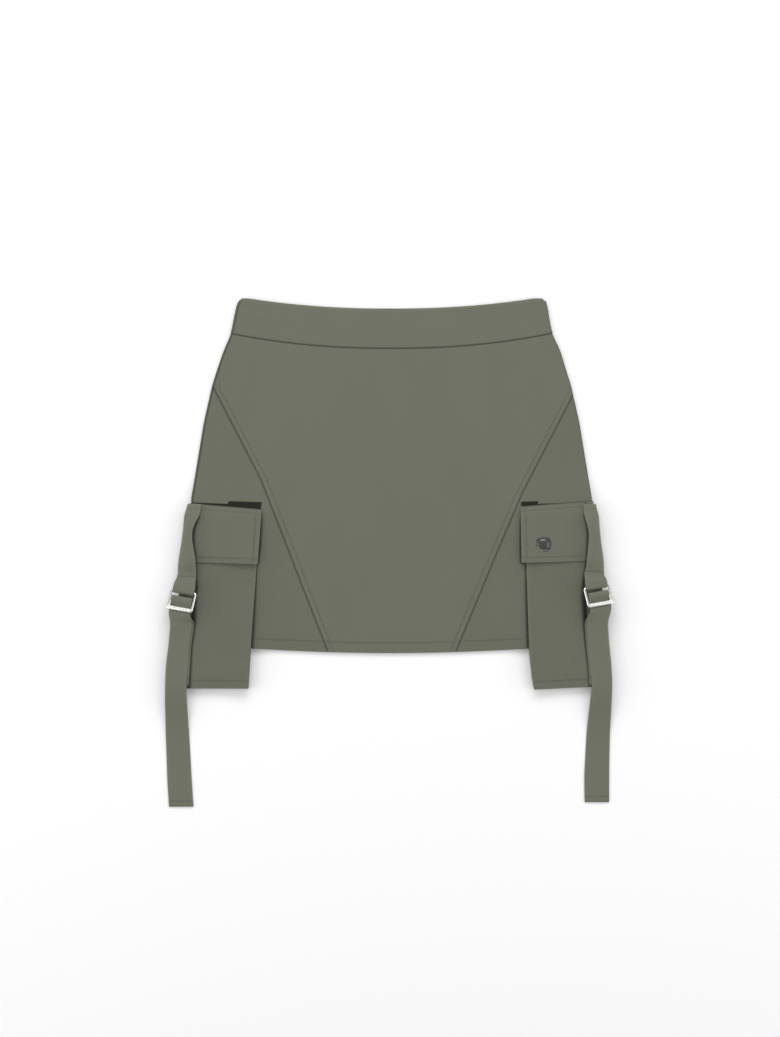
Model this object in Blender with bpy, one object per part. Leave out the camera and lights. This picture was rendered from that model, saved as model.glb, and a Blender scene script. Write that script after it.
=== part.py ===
"""Cargo utility skirt, laid flat with its front up.

Everything is worked out in millimetres and turned into metres when a mesh is made.
+X is to the right as the skirt is looked at, +Y is towards the waist, +Z is up from the
surface.  The tables are measured from the centre seam; place() moves them so that the
origin is on the surface, under the middle of the whole skirt.

The skirt is a flat tube.  At every place its front and back lie at the same distance
from a middle level, called the core, and turn round the side fold on one small arc.
Pockets, flaps and straps are hung round the same fold, each on a larger arc.
"""

import math
from collections import namedtuple

import bmesh
import bpy
import numpy as np
from mathutils import Vector

MM = 0.001
TABLE_CENTRE = Vector((-1.95, 1.3, 0.0))   # the middle of the skirt's box in the tables

# ---------------------------------------------------------------- driving dimensions
PANEL = 1.0            # wall of a panel and of a pocket leaf
BAND = 1.6             # waistband, two layers sewn as one
FLAP = 1.4             # pocket flap, two layers sewn as one
STRAP = 1.4            # strap, two layers sewn as one
INSIDE = 0.8           # space left between front and back
SEAM = 0.3             # space between pieces that are sewn edge to edge
LAYER = 0.4            # space between pieces that lie on each other
STRAP_WIDTH = 24.5
ARC_STEPS = 6          # flat facets round a side fold
FOLD_BAND = 16.0       # width beside the fold that lies on the back of a strap
RAMP = 28.0            # width over which the skirt settles beside a pocket

WAIST_MIDDLE = 268.2   # top edge of the band at the middle, and its rise to the sides
WAIST_RISE = 12.1
WAIST_HALF = 157.0
BACK_PEEK = 1.2        # the back of the waist stands this much above the front
SEAM_MIDDLE = 225.7    # seam under the waistband, and its rise to the sides
SEAM_RISE = 16.6
SEAM_HALF = 177.0
HEM_MIDDLE = -108.8
HEM_RISE = 5.2
HEM_HALF = 155.0
MOUTH = 38.0           # upper edge of the pocket leaves, under the flap

SLIDE_WIRE = 1.25      # radius of the slide's frame
SLIDE_BEAD = 1.15      # radius of the inner rail, which doubles the lower bar
SLIDE_BAR = 1.0        # radius of the bar inside the strap's fold
SLIDE_HALF = 14.0      # middle of the frame to the middle of a side
SLIDE_TOP = 9.75       # middle of the slide to the middle of its top bar
SLIDE_LOW = -11.1      # and to the middle of its lower bar
RAIL_LOW = -8.9        # the rail beside the lower bar
RAIL_SIDE = -12.4      # and beside the outer side
RAIL_START = 5.25      # it leaves the outer side here
RAIL_CLEAR = 1.75      # and is clear of it here
RAIL_CORNER = 1.6
BAR_UP = 1.3
SLIDE_CORNER = 1.8
WINDOW_STRAP = 23.3    # width of the strap inside the slide
STUD_RADIUS = 9.0

# ---------------------------------------------------------------- radii round the fold
SKIRT_R = (INSIDE + PANEL) / 2
SKIRT_OUT = SKIRT_R + PANEL / 2
BAND_R = (INSIDE + BAND) / 2
INNER_R = SKIRT_OUT + LAYER + PANEL / 2
OUTER_R = INNER_R + LAYER + PANEL
POCKET_OUT = OUTER_R + PANEL / 2
FLAP_TOP_R = SKIRT_OUT + LAYER + FLAP / 2
FLAP_R = POCKET_OUT + LAYER + FLAP / 2
STRAP_STEP = FLAP / 2 + LAYER + STRAP / 2

LEFT = -1
RIGHT = 1

# Half widths of the skirt at the side folds.
Fold = namedtuple("Fold", "y left right")
FOLDS = [
    Fold(281, 165, 168), Fold(276, 169, 171), Fold(257, 173, 174), Fold(242, 176, 177),
    Fold(224, 184, 186), Fold(204, 191, 192), Fold(185, 197, 198), Fold(145, 206, 207),
    Fold(99, 213.5, 214.5), Fold(59, 220, 221), Fold(50, 219.4, 220.5), Fold(26, 221, 222),
    Fold(6, 224, 224.5), Fold(-23, 228, 228), Fold(-51, 231.5, 231), Fold(-106, 236, 235),
    Fold(-152, 237, 236.5),
]

# Height of the core over the surface, in the middle, beside the fold and added at it.
Level = namedtuple("Level", "y middle side at_fold")
LEVELS = [
    Level(285, 2.0, 2.0, 0), Level(225, 2.0, 2.0, 0), Level(200, 1.4, 1.4, 0),
    Level(85, 1.4, 1.4, 0), Level(56, 1.4, 3.4, 2.2), Level(42, 1.4, 6.0, 2.6),
    Level(-12, 1.4, 6.0, 2.6), Level(-24, 1.4, 5.1, 1.6), Level(-36, 1.4, 4.2, 0.8),
    Level(-65, 1.4, 4.2, 0), Level(-155, 1.4, 4.2, 0),
]

# Where the pocket and the flap end towards the middle, as half widths.
Stack = namedtuple("Stack", "y left right")
STACK_EDGE = [
    Stack(85, 141.5, 142), Stack(49, 141.5, 142), Stack(-12, 146.3, 143.1),
    Stack(-36, 148.5, 149.0), Stack(-104, 154, 151.6), Stack(-152, 157, 158),
]
FLAP_EDGE = [Stack(52, 141.6, 142.2), Stack(-12, 146.3, 143.1)]
POCKET_EDGE = [
    Stack(38, 146.6, 147.4), Stack(-12, 147.4, 148.5), Stack(-104, 154, 151.6),
    Stack(-135, 156, 154.8), Stack(-152, 156.8, 157.9),
]

# Upper and lower edges of each flap, at the side fold and at its inner edge.
Flap = namedtuple("Flap", "top_out top_in low_out low_in")
FLAP_LIMITS = {LEFT: Flap(55.3, 48.7, -9.0, -11.1), RIGHT: Flap(58.1, 51.8, -7.6, -9.6)}
FLAP_INNER = 142.0
FLAP_OUTER = 220.0
FLAP_CLEAR = 42.0      # from its top edge down to here the flap rises over the pocket
FLAP_ROWS = [FLAP_CLEAR, 26, 6]

# The slanting seams from the side folds to the hem, as half widths.
SLANT_LEFT = [Stack(181.8, 195, 0), Stack(83.4, 143.9, 0), Stack(-28.4, 100.3, 0),
              Stack(-106, 70, 0)]
SLANT_RIGHT = [Stack(172.4, 0, 199), Stack(66.3, 0, 144), Stack(-18.9, 0, 108),
               Stack(-106, 0, 72)]
SLANT_TOP = {LEFT: 181.8, RIGHT: 172.4}

# Rows of the skirt's panels, from under the waistband to just above the hem.
PANEL_ROWS = [215, 200, 182, 181, 172.5, 171.5, 145, 115, 85, 56, 42, 26, 6, -12, -24, -36,
              -65, -90]
POCKET_ROWS = [MOUTH, 26, 6, -12, -24, -36, -65, -95, -120]

# Upper strap, wrapped round the fold: its inner edge and how far it bows off the flap.
Wrap = namedtuple("Wrap", "y left right bow")
UPPER_STRAP = [
    Wrap(54.5, 208.7, 211.4, 0.2), Wrap(49, 208.6, 211.3, 0.3), Wrap(42, 209.8, 211.6, 0.4),
    Wrap(34, 214.0, 213.8, 0.6), Wrap(26, 216.9, 215.8, 0.7), Wrap(18, 217.4, 216.2, 0.8),
    Wrap(6, 216.0, 215.4, 0.8), Wrap(-3, 214.4, 214.5, 0.8), Wrap(-12, 213.5, 213.7, 0.6),
    Wrap(-24, 213.6, 212.0, 0.2),
]

# Free end of the lower strap: both edges as half widths, and its height.
Tail = namedtuple("Tail", "y inner_left outer_left inner_right outer_right z")
TAIL = [
    Tail(-76, 218.2, 241.4, 214.5, 237.2, 14.2), Tail(-88, 219.4, 242.3, 215.2, 238, 12.4),
    Tail(-99, 220.9, 243.4, 216, 238.8, 11.4), Tail(-120, 222.6, 246, 218.5, 241, 11.3),
    Tail(-147, 224.4, 247.2, 220, 242, 11.3), Tail(-160, 224.1, 247.5, 218.7, 241.7, 9.0),
    Tail(-178, 223.4, 247.5, 217.2, 241.2, 4.2), Tail(-196, 222.4, 247.3, 215.6, 240.5, 1.3),
    Tail(-220, 221, 246.6, 214.2, 240, 0.7), Tail(-250, 219.4, 245.6, 212.9, 239.7, 0.7),
    Tail(-278, 217.5, 243.9, 213.2, 239.7, 0.7),
]
TAIL_SHORTER = 5.0     # the right free end is this much shorter
LEG_SHIFT = 2.0        # the hidden leg shows this much beside the free end
LEG_ROWS = [-76, -88, -99, -120, -144]
LEG_DROP = STRAP + LAYER

# Middle of each slide, and the directions of its bars and sides for the left slide.
SLIDE_MIDDLE = {LEFT: Vector((-229.0, -50.4, 16.0)), RIGHT: Vector((226.9, -44.8, 16.0))}
BAR_DIRECTION = Vector((27.3, -4.6, 6.0))
SIDE_DIRECTION = Vector((4.5, 18.8, -5.0))

COLOURS = {
    "cloth": ((0.150, 0.155, 0.118), 0.9, 0.0),
    "strap_cloth": ((0.165, 0.170, 0.132), 0.9, 0.0),
    "polished_steel": ((0.80, 0.80, 0.78), 0.15, 1.0),
    "dark_metal": ((0.09, 0.09, 0.085), 0.3, 1.0),
}


# ---------------------------------------------------------------- reading the tables
def read(table, column, y):
    """Value of a column at y, straight between the rows."""
    rows = sorted(table, key=lambda row: row.y)
    return float(np.interp(y, [row.y for row in rows], [getattr(row, column) for row in rows]))


def side_name(side):
    return "left" if side == LEFT else "right"


def fold_centre(side, y):
    """X of the line that every layer at this side turns round."""
    return side * (read(FOLDS, side_name(side), y) - SKIRT_OUT)


def half(table, side, y):
    return side * read(table, side_name(side), y)


def slant(side, y):
    return half(SLANT_LEFT if side == LEFT else SLANT_RIGHT, side, y)


def core(x, y):
    """Height of the level that front and back lie either side of."""
    side = LEFT if x < 0 else RIGHT
    middle = read(LEVELS, "middle", y)
    beside = read(LEVELS, "side", y)
    edge = abs(half(STACK_EDGE, side, y))
    share = min(1.0, max(0.0, (abs(x) - (edge - RAMP)) / RAMP))
    near = min(1.0, max(0.0, 1 - (abs(fold_centre(side, y)) - abs(x)) / FOLD_BAND))
    return middle + (beside - middle) * share + read(LEVELS, "at_fold", y) * near


def flap_radius(side, y):
    """Radius of the flap at the fold: tight along its top seam, then over the pocket."""
    top = FLAP_LIMITS[side].top_out
    return float(np.interp(y, [FLAP_CLEAR, top], [FLAP_R, FLAP_TOP_R]))


def waist_edge(x):
    return WAIST_MIDDLE + WAIST_RISE * min(1.0, (x / WAIST_HALF) ** 2)


def waist_seam(x):
    return SEAM_MIDDLE + SEAM_RISE * min(1.0, abs(x) / SEAM_HALF) ** 2.2


def hem_edge(x):
    return HEM_MIDDLE + HEM_RISE * min(2.0, (x / HEM_HALF) ** 2)


# ---------------------------------------------------------------- making solids
def place(point):
    """A point of the tables, in metres from the origin."""
    return (Vector(point) - TABLE_CENTRE) * MM


def clear_scene():
    for item in list(bpy.data.objects):
        bpy.data.objects.remove(item, do_unlink=True)


def material(slot):
    found = bpy.data.materials.get(slot)
    if found:
        return found
    colour, roughness, metallic = COLOURS[slot]
    made = bpy.data.materials.new(slot)
    made.use_nodes = True
    shader = made.node_tree.nodes["Principled BSDF"]
    shader.inputs["Base Color"].default_value = (*colour, 1.0)
    shader.inputs["Roughness"].default_value = roughness
    shader.inputs["Metallic"].default_value = metallic
    return made


def add_object(name, bm, slot):
    mesh = bpy.data.meshes.new(name)
    bm.to_mesh(mesh)
    bm.free()
    mesh.materials.append(material(slot))
    made = bpy.data.objects.new(name, mesh)
    bpy.context.collection.objects.link(made)
    return made


def sheet(name, rows, thickness, slot="cloth"):
    """A cloth wall through rows of points, all rows with the same number of points."""
    across, along = len(rows[0]), len(rows)
    bm = bmesh.new()
    bmesh.ops.create_grid(bm, x_segments=across - 1, y_segments=along - 1, size=1)
    bm.verts.ensure_lookup_table()
    for number, vert in enumerate(bm.verts):
        vert.co = place(rows[number // across][number % across])
    made = add_object(name, bm, slot)
    wall = made.modifiers.new("wall", "SOLIDIFY")
    wall.thickness = thickness * MM
    wall.offset = 0
    made.data.shade_smooth()
    made.data.set_sharp_from_angle(angle=math.radians(40))
    return made


def spread(stops, parts):
    """Points between stops, with the given number of parts in each stretch."""
    points = []
    for start, end, count in zip(stops, stops[1:], parts):
        points += [start + (end - start) * k / count for k in range(count)]
    return points + [stops[-1]]


def arc_points(side, y, radius, first, last, steps):
    """Points round the fold between two angles, 90 on top and -90 underneath."""
    x = fold_centre(side, y)
    z = core(x, y)
    angles = [math.radians(first + (last - first) * k / steps) for k in range(steps + 1)]
    return [(x + side * radius * math.cos(a), y, z + radius * math.sin(a)) for a in angles]


def level_points(stops, parts, y_at, radius):
    """Points of a leaf, the given distance above the core, or below it if negative."""
    return [(x, y_at(x), core(x, y_at(x)) + radius) for x in spread(stops, parts)]


# ---------------------------------------------------------------- waistband and panels
# At the left fold the back wraps round to the front and the seam shows just inside the
# outline.  At the right fold the seam lies on the fold itself.
LEFT_SEAM = 0.75       # the left seam lies this far inside the fold's centre
RIGHT_SEAM_ANGLE = 24  # each piece stops this far from the middle of the right fold
RIGHT_ARC_STEPS = 4
FRONT_PARTS = [2, 6, 2]     # facets of the front: left ramp, middle, right ramp
BACK_PARTS = [3, 2, 2, 1, 2]    # of a back: middle, ramp, pocket, settling, beside fold
SIDE_PARTS = [1, 2, 2, 2]   # of a side front: beside its seam, ramp, pocket, fold
LAST_FACET = 0.225     # below the slant the arc's facets are narrow ones beside the seam
LEAST_RAMP = 2.0       # the ramp starts at least this far inside a panel's edge
SIDE_RAMP = 0.15       # and on a side front at least this share of its width inside
SIDE_NEAR = 0.2
SIDE_TOP_GAP = 1.8     # a side front starts this far under the top of its slanting seam


def front_right_arc(y, radius):
    return arc_points(RIGHT, y, radius, 90, RIGHT_SEAM_ANGLE, RIGHT_ARC_STEPS)[1:]


def back_half_row(side, y_at, y_side, radius):
    """One row of the back, from the centre seam to the side fold and round it."""
    edge = half(STACK_EDGE, side, y_side)
    centre = fold_centre(side, y_side)
    inner = edge - side * RAMP
    near = centre - side * FOLD_BAND
    stops = [side * SEAM / 2, inner, edge, near, centre]
    row = level_points(stops, BACK_PARTS, y_at, -radius)
    if side == LEFT:
        row += arc_points(side, y_side, radius, -90, 90, ARC_STEPS)[1:]
        end = centre + LEFT_SEAM - SEAM / 2
        row.append((end, y_at(end), core(end, y_side) + radius))
    else:
        row += arc_points(side, y_side, radius, -90, -RIGHT_SEAM_ANGLE, RIGHT_ARC_STEPS)[1:]
    return row


def band_rows(row_maker, top, steps=2):
    """Rows between the waist edge and the seam under the band."""
    rows = []
    for step in range(steps + 1):
        share = step / steps

        def y_at(x, share=share):
            return top(x) + (waist_seam(x) + SEAM / 2 - top(x)) * share

        rows.append(row_maker(y_at, y_at(SEAM_HALF)))
    return rows


def front_band_row(y_at, y_side):
    left, right = fold_centre(LEFT, y_side), fold_centre(RIGHT, y_side)
    stops = [left + LEFT_SEAM + SEAM / 2]
    stops += [half(STACK_EDGE, side, y_side) - side * RAMP for side in (LEFT, RIGHT)]
    row = level_points(stops + [right], FRONT_PARTS, y_at, BAND_R)
    return row + front_right_arc(y_side, BAND_R)


def make_waistband():
    def back_top(x):
        return waist_edge(x) + BACK_PEEK * (1 - min(1.0, abs(x) / WAIST_HALF))

    sheet("waistband_front", band_rows(front_band_row, waist_edge), BAND)
    for side in (LEFT, RIGHT):
        def row(y_at, y_side, side=side):
            return back_half_row(side, y_at, y_side, BAND_R)

        sheet("waistband_back_" + side_name(side), band_rows(row, back_top), BAND)


def panel_rows(row_maker, rows):
    """Rows at fixed heights, with the waist seam above them and the hem below."""
    made = []
    if rows[0] == PANEL_ROWS[0]:
        def under_band(x):
            return waist_seam(x) - SEAM / 2

        made.append(row_maker(under_band, under_band(SEAM_HALF)))
    for y in rows:
        made.append(row_maker(lambda x, y=y: y, y))
    made.append(row_maker(hem_edge, hem_edge(HEM_HALF)))
    return made


def front_centre_row(y_at, y_side):
    """One row of the centre front: to the side seams above the slants, to the slants below."""
    if y_side > SLANT_TOP[LEFT]:
        left = fold_centre(LEFT, y_side) + LEFT_SEAM + SEAM / 2
    else:
        left = slant(LEFT, y_side) + SEAM / 2
    if y_side > SLANT_TOP[RIGHT]:
        right = fold_centre(RIGHT, y_side)
    else:
        right = slant(RIGHT, y_side) - SEAM / 2 - RIGHT_ARC_STEPS * LAST_FACET
    ramp_left = half(STACK_EDGE, LEFT, y_side) + RAMP
    ramp_right = half(STACK_EDGE, RIGHT, y_side) - RAMP
    stops = [left, max(ramp_left, left + LEAST_RAMP), min(ramp_right, right - LEAST_RAMP), right]
    row = level_points(stops, FRONT_PARTS, y_at, SKIRT_R)
    if y_side > SLANT_TOP[RIGHT]:
        return row + front_right_arc(y_side, SKIRT_R)
    last = [right + LAST_FACET * k for k in range(1, RIGHT_ARC_STEPS + 1)]
    return row + [(x, y_at(x), core(x, y_at(x)) + SKIRT_R) for x in last]


def front_side_row(side, y_at, y_side):
    """One row of a side front, from the slanting seam out to the side seam."""
    seam = slant(side, y_side) + side * SEAM / 2
    fold = fold_centre(side, y_side)
    width = abs(fold - seam)
    edge = half(STACK_EDGE, side, y_side)
    ramp = side * max(abs(edge) - RAMP, abs(seam) + SIDE_RAMP * width)
    edge = side * max(abs(edge), abs(ramp) + SIDE_RAMP * width)
    near = side * max(abs(fold) - FOLD_BAND, abs(edge) + SIDE_NEAR * width)
    last = fold + LEFT_SEAM + SEAM / 2 if side == LEFT else fold
    if abs(near) > abs(last) - SEAM / 2:
        stops = spread([seam, last], [len(SIDE_PARTS)])
    else:
        stops = [seam, ramp, edge, near, last]
    row = level_points(stops, SIDE_PARTS, y_at, SKIRT_R)
    return row if side == LEFT else row + front_right_arc(y_side, SKIRT_R)


def make_panels():
    sheet("front_centre", panel_rows(front_centre_row, PANEL_ROWS), PANEL)
    for side in (LEFT, RIGHT):
        def front(y_at, y_side, side=side):
            return front_side_row(side, y_at, y_side)

        def back(y_at, y_side, side=side):
            return back_half_row(side, y_at, y_side, SKIRT_R)

        top = SLANT_TOP[side] - SIDE_TOP_GAP
        below = [top] + [y for y in PANEL_ROWS if y < top]
        sheet("front_side_" + side_name(side), panel_rows(front, below), PANEL)
        sheet("back_" + side_name(side), panel_rows(back, PANEL_ROWS), PANEL)


# ---------------------------------------------------------------- pockets and flaps
POCKET_LIFT = {LEFT: 3.0, RIGHT: 2.0}   # how far the front leaves stand off at the inner edge
LIFT_BAND = 35.0       # width beside the inner edge over which they settle
LIFT_TOP = -12.0       # they start to stand off here
LIFT_FULL = -65.0
POCKET_FRONT = [2, 1, 2]    # facets of a leaf: beside its inner edge, middle, beside the fold
FLAP_FRONT = [3, 2]
# Height of a pocket's bottom at its inner edge, and its rise to the fold.
Foot = namedtuple("Foot", "inner_x inner_y rise width")
POCKET_FOOT = {LEFT: Foot(156.6, -147.5, 0.0, 80.0), RIGHT: Foot(158.0, -148.6, 2.8, 60.0)}


def pocket_bottom(side, x):
    foot = POCKET_FOOT[side]
    return foot.inner_y + foot.rise * (abs(x) - foot.inner_x) / foot.width


def pocket_row(side, y_at, y_side, radius):
    edge = half(POCKET_EDGE, side, y_side)
    fold = fold_centre(side, y_side)
    lift = POCKET_LIFT[side] * float(np.interp(y_side, [LIFT_FULL, LIFT_TOP], [1, 0]))
    stops = [edge, edge + side * LIFT_BAND, fold - side * FOLD_BAND, fold]
    front = level_points(stops, POCKET_FRONT, y_at, radius)
    front = [(x, y, z + lift * max(0.0, 1 - abs(x - edge) / LIFT_BAND)) for x, y, z in front]
    back = level_points(stops, POCKET_FRONT, y_at, -radius)
    return front + arc_points(side, y_side, radius, 90, -90, ARC_STEPS)[1:-1] + back[::-1]


def make_pocket(side):
    for name, radius in (("inner", INNER_R), ("outer", OUTER_R)):
        rows = [pocket_row(side, lambda x, y=y: y, y, radius) for y in POCKET_ROWS]
        rows.append(pocket_row(side, lambda x: pocket_bottom(side, x),
                               POCKET_FOOT[side].inner_y, radius))
        sheet("pocket_%s_%s" % (name, side_name(side)), rows, PANEL)


def make_flap(side):
    limits = FLAP_LIMITS[side]

    def between(x, inner, outer):
        share = min(1.0, max(0.0, (abs(x) - FLAP_INNER) / (FLAP_OUTER - FLAP_INNER)))
        return inner + (outer - inner) * share

    def top(x):
        return between(x, limits.top_in, limits.top_out)

    rows = []
    steps = [(FLAP_TOP_R, top),
             ((FLAP_TOP_R + FLAP_R) / 2, lambda x: (top(x) + FLAP_CLEAR) / 2)]
    steps += [(FLAP_R, lambda x, y=y: y) for y in FLAP_ROWS]
    steps.append((FLAP_R, lambda x: between(x, limits.low_in, limits.low_out)))
    for radius, y_at in steps:
        y_side = y_at(FLAP_OUTER)
        y_inner = y_at(FLAP_INNER)
        edge = half(FLAP_EDGE, side, y_inner)
        fold = fold_centre(side, y_side)
        stops = [edge, fold - side * FOLD_BAND, fold]
        points = spread(stops, FLAP_FRONT)
        front = [(x, y_at(x), core(x, y_at(x)) + radius) for x in points]
        back = [(x, y_at(x), core(x, y_at(x)) - radius) for x in points]
        turn = arc_points(side, y_side, radius, 90, -90, ARC_STEPS)[1:-1]
        rows.append(front + turn + back[::-1])
    sheet("flap_" + side_name(side), rows, FLAP)


# ---------------------------------------------------------------- slides and straps
ACROSS = 9             # points across a strap


def slide_axes(side):
    """Directions along a slide's bars, up its sides and out of its face."""
    mirror = Vector((-side, 1, 1))
    bars = (BAR_DIRECTION * mirror).normalized()
    up = SIDE_DIRECTION * mirror
    up = (up - bars * up.dot(bars)).normalized()
    face = bars.cross(up)
    return bars, up, face * (1 if face.z > 0 else -1)


def slide_point(side, u, v, w):
    """A point of the slide: u along its bars to the inside, v up, w out of its face."""
    bars, up, face = slide_axes(side)
    return SLIDE_MIDDLE[side] + bars * u + up * v + face * w


def slide_row(side, v, w, inner, width):
    """A strap's row across the slide, from its inner edge to its outer edge."""
    return [tuple(slide_point(side, inner - width * k / (ACROSS - 1), v, w))
            for k in range(ACROSS)]


def wrap_row(side, y):
    """A row of the upper strap, laid on the flap and turned round the side fold."""
    inner = half(UPPER_STRAP, side, y)
    centre = fold_centre(side, y)
    radius = flap_radius(side, y) + STRAP_STEP + read(UPPER_STRAP, "bow", y)
    level = core(centre, y)
    flat = abs(centre - inner)
    row = []
    for k in range(ACROSS):
        run = STRAP_WIDTH * k / (ACROSS - 1)
        if run < flat:
            row.append((inner + side * run, y, level + radius))
            continue
        angle = (run - flat) / radius
        if angle <= math.pi:
            row.append((centre + side * radius * math.sin(angle), y,
                        level + radius * math.cos(angle)))
        else:
            row.append((centre - side * (run - flat - math.pi * radius), y, level - radius))
    return row


def mix_rows(first, second, share):
    return [tuple(Vector(a).lerp(Vector(b), share)) for a, b in zip(first, second)]


def drop_row(side, row, before, after, distance):
    """A row moved down along the cloth's own normal, found from its neighbours."""
    made = []
    for k, point in enumerate(row):
        along = Vector(after[k]) - Vector(before[k])
        across = Vector(row[min(k + 1, len(row) - 1)]) - Vector(row[max(k - 1, 0)])
        normal = along.cross(across).normalized() * side
        made.append(tuple(Vector(point) - normal * distance))
    return made


LOOP_R = SLIDE_WIRE + SEAM + STRAP / 2
FOLD_R = SLIDE_BAR + SEAM + STRAP / 2
LOOP_WIDTH = 24.0
LOOP_INNER = LOOP_WIDTH / 2
LOOP_RISE = 5.0        # above the top bar the strap comes off the slide here
LOOP_OUT = LOOP_R + 1.6
LOOP_ROWS = (0.4, 0.8)  # rows between the wrap and the loop
TURN_ANGLES = (45, 90, 135)
WINDOW_INNER = 12.4

# The lower strap in the slide's own directions: up the slide, and out of its face.
Step = namedtuple("Step", "up out")
BEHIND_SLIDE = [Step(-13.5, -4.1), Step(-8, -4.0), Step(-3, -3.1), Step(BAR_UP, -FOLD_R)]
OVER_SLIDE = [Step(BAR_UP, FOLD_R), Step(-2.5, 0.4), Step(-6, -1.9), Step(-8.5, -2.2),
              Step(-13.5, -2.2)]
TAIL_EASE = -150.0     # below here the right free end is shortened evenly, down to its end


def make_upper_strap(side):
    """Sewn under the flap's top edge, looped round the slide's top bar and stitched."""
    rows = [wrap_row(side, row.y) for row in UPPER_STRAP]
    last_wrap = rows[-1]
    at_bar = slide_row(side, SLIDE_TOP, LOOP_R, LOOP_INNER, LOOP_WIDTH)
    above = slide_row(side, SLIDE_TOP + LOOP_RISE, LOOP_OUT, LOOP_INNER, LOOP_WIDTH)
    low, near = [mix_rows(last_wrap, above, share) for share in LOOP_ROWS]
    rows += [low, near, at_bar]
    for angle in TURN_ANGLES:
        turn = math.radians(angle)
        rows.append(slide_row(side, SLIDE_TOP - LOOP_R * math.sin(turn),
                              LOOP_R * math.cos(turn), LOOP_INNER, LOOP_WIDTH))
    rows.append(slide_row(side, SLIDE_TOP, -LOOP_R, LOOP_INNER, LOOP_WIDTH))
    rows.append(drop_row(side, near, low, at_bar, LOOP_R))
    rows.append(drop_row(side, low, last_wrap, near, STRAP + SEAM + LAYER / 2))
    sheet("upper_strap_" + side_name(side), rows, STRAP, "strap_cloth")


def make_lower_strap(side):
    """Sewn to the pocket's foot, up behind the slide, round its bar and down again."""
    name = side_name(side)
    rows = []
    for y in reversed(LEG_ROWS):
        inner = side * (read(TAIL, "inner_" + name, y) - LEG_SHIFT)
        outer = side * (read(TAIL, "outer_" + name, y) - LEG_SHIFT)
        z = read(TAIL, "z", y) - LEG_DROP
        rows.append([(inner + (outer - inner) * k / (ACROSS - 1), y, z)
                     for k in range(ACROSS)])
    for step in BEHIND_SLIDE:
        rows.append(slide_row(side, step.up, step.out, WINDOW_INNER, WINDOW_STRAP))
    for angle in TURN_ANGLES:
        turn = math.radians(angle)
        rows.append(slide_row(side, BAR_UP + FOLD_R * math.sin(turn),
                              -FOLD_R * math.cos(turn), WINDOW_INNER, WINDOW_STRAP))
    for step in OVER_SLIDE:
        rows.append(slide_row(side, step.up, step.out, WINDOW_INNER, WINDOW_STRAP))
    shorter = TAIL_SHORTER if side == RIGHT else 0
    for row in TAIL:
        share = max(0.0, (row.y - TAIL_EASE) / (TAIL[-1].y - TAIL_EASE))
        y = row.y + shorter * share
        inner = side * getattr(row, "inner_" + name)
        outer = side * getattr(row, "outer_" + name)
        rows.append([(inner + (outer - inner) * k / (ACROSS - 1), y, row.z)
                     for k in range(ACROSS)])
    sheet("lower_strap_" + name, rows, STRAP, "strap_cloth")


def tube_mesh(path, radius, closed, sides=8):
    """A round tube through points, closed on itself or with flat ends."""
    bm = bmesh.new()
    rings = []
    count = len(path)
    for number, point in enumerate(path):
        before = path[(number - 1) % count] if closed or number else point
        after = path[(number + 1) % count] if closed or number < count - 1 else point
        along = (after - before).normalized()
        turn = along.to_track_quat("Z", "Y").to_matrix().to_4x4()
        turn.translation = place(point)
        ring = bmesh.ops.create_circle(bm, segments=sides, radius=radius * MM, matrix=turn)
        rings.append(ring["verts"])
    pairs = list(zip(rings, rings[1:]))
    if closed:
        pairs.append((rings[-1], rings[0]))
    for first, second in pairs:
        edges = {edge for vert in first + second for edge in vert.link_edges
                 if edge.other_vert(vert) in first + second and len(edge.link_faces) < 2}
        edges = [edge for edge in edges
                 if (edge.verts[0] in first) == (edge.verts[1] in first)]
        bmesh.ops.bridge_loops(bm, edges=edges)
    if not closed:
        bmesh.ops.contextual_create(bm, geom=rings[0])
        bmesh.ops.contextual_create(bm, geom=rings[-1])
    bmesh.ops.recalc_face_normals(bm, faces=bm.faces)
    return bm


def corner_points(side, u, v, start, corner=SLIDE_CORNER, steps=3):
    """A quarter turn of the slide's wire, round the corner whose centre is at u, v."""
    turns = [math.radians(start + 90 * k / steps) for k in range(steps + 1)]
    return [slide_point(side, u + corner * math.cos(a), v + corner * math.sin(a), 0)
            for a in turns]


def make_slide(side):
    """A wire frame, a rail that doubles its lower bar, and a bar inside the strap."""
    u, c = SLIDE_HALF - SLIDE_CORNER, SLIDE_CORNER
    frame = (corner_points(side, u, SLIDE_TOP - c, 0)
             + corner_points(side, -u, SLIDE_TOP - c, 90)
             + corner_points(side, -u, SLIDE_LOW + c, 180)
             + corner_points(side, u, SLIDE_LOW + c, 270))
    made = add_object("slide_" + side_name(side),
                      tube_mesh(frame, SLIDE_WIRE, True), "polished_steel")
    corner = RAIL_CORNER
    rail = ([slide_point(side, -SLIDE_HALF, RAIL_START, 0)]
            + [slide_point(side, RAIL_SIDE, RAIL_CLEAR, 0)]
            + corner_points(side, RAIL_SIDE + corner, RAIL_LOW + corner, 180, corner)
            + [slide_point(side, SLIDE_HALF, RAIL_LOW, 0)])
    bar = [slide_point(side, -SLIDE_HALF, BAR_UP, 0), slide_point(side, SLIDE_HALF, BAR_UP, 0)]
    for name, path, radius in (("rail", rail, SLIDE_BEAD), ("bar", bar, SLIDE_BAR)):
        part = add_object("%s_tool_%s" % (name, side_name(side)),
                          tube_mesh(path, radius, False), "polished_steel")
        part.hide_render = True
        part.display_type = "WIRE"
        join = made.modifiers.new(name, "BOOLEAN")
        join.operation = "UNION"
        join.object = part
    made.data.shade_smooth()
    made.data.set_sharp_from_angle(angle=math.radians(50))


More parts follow.
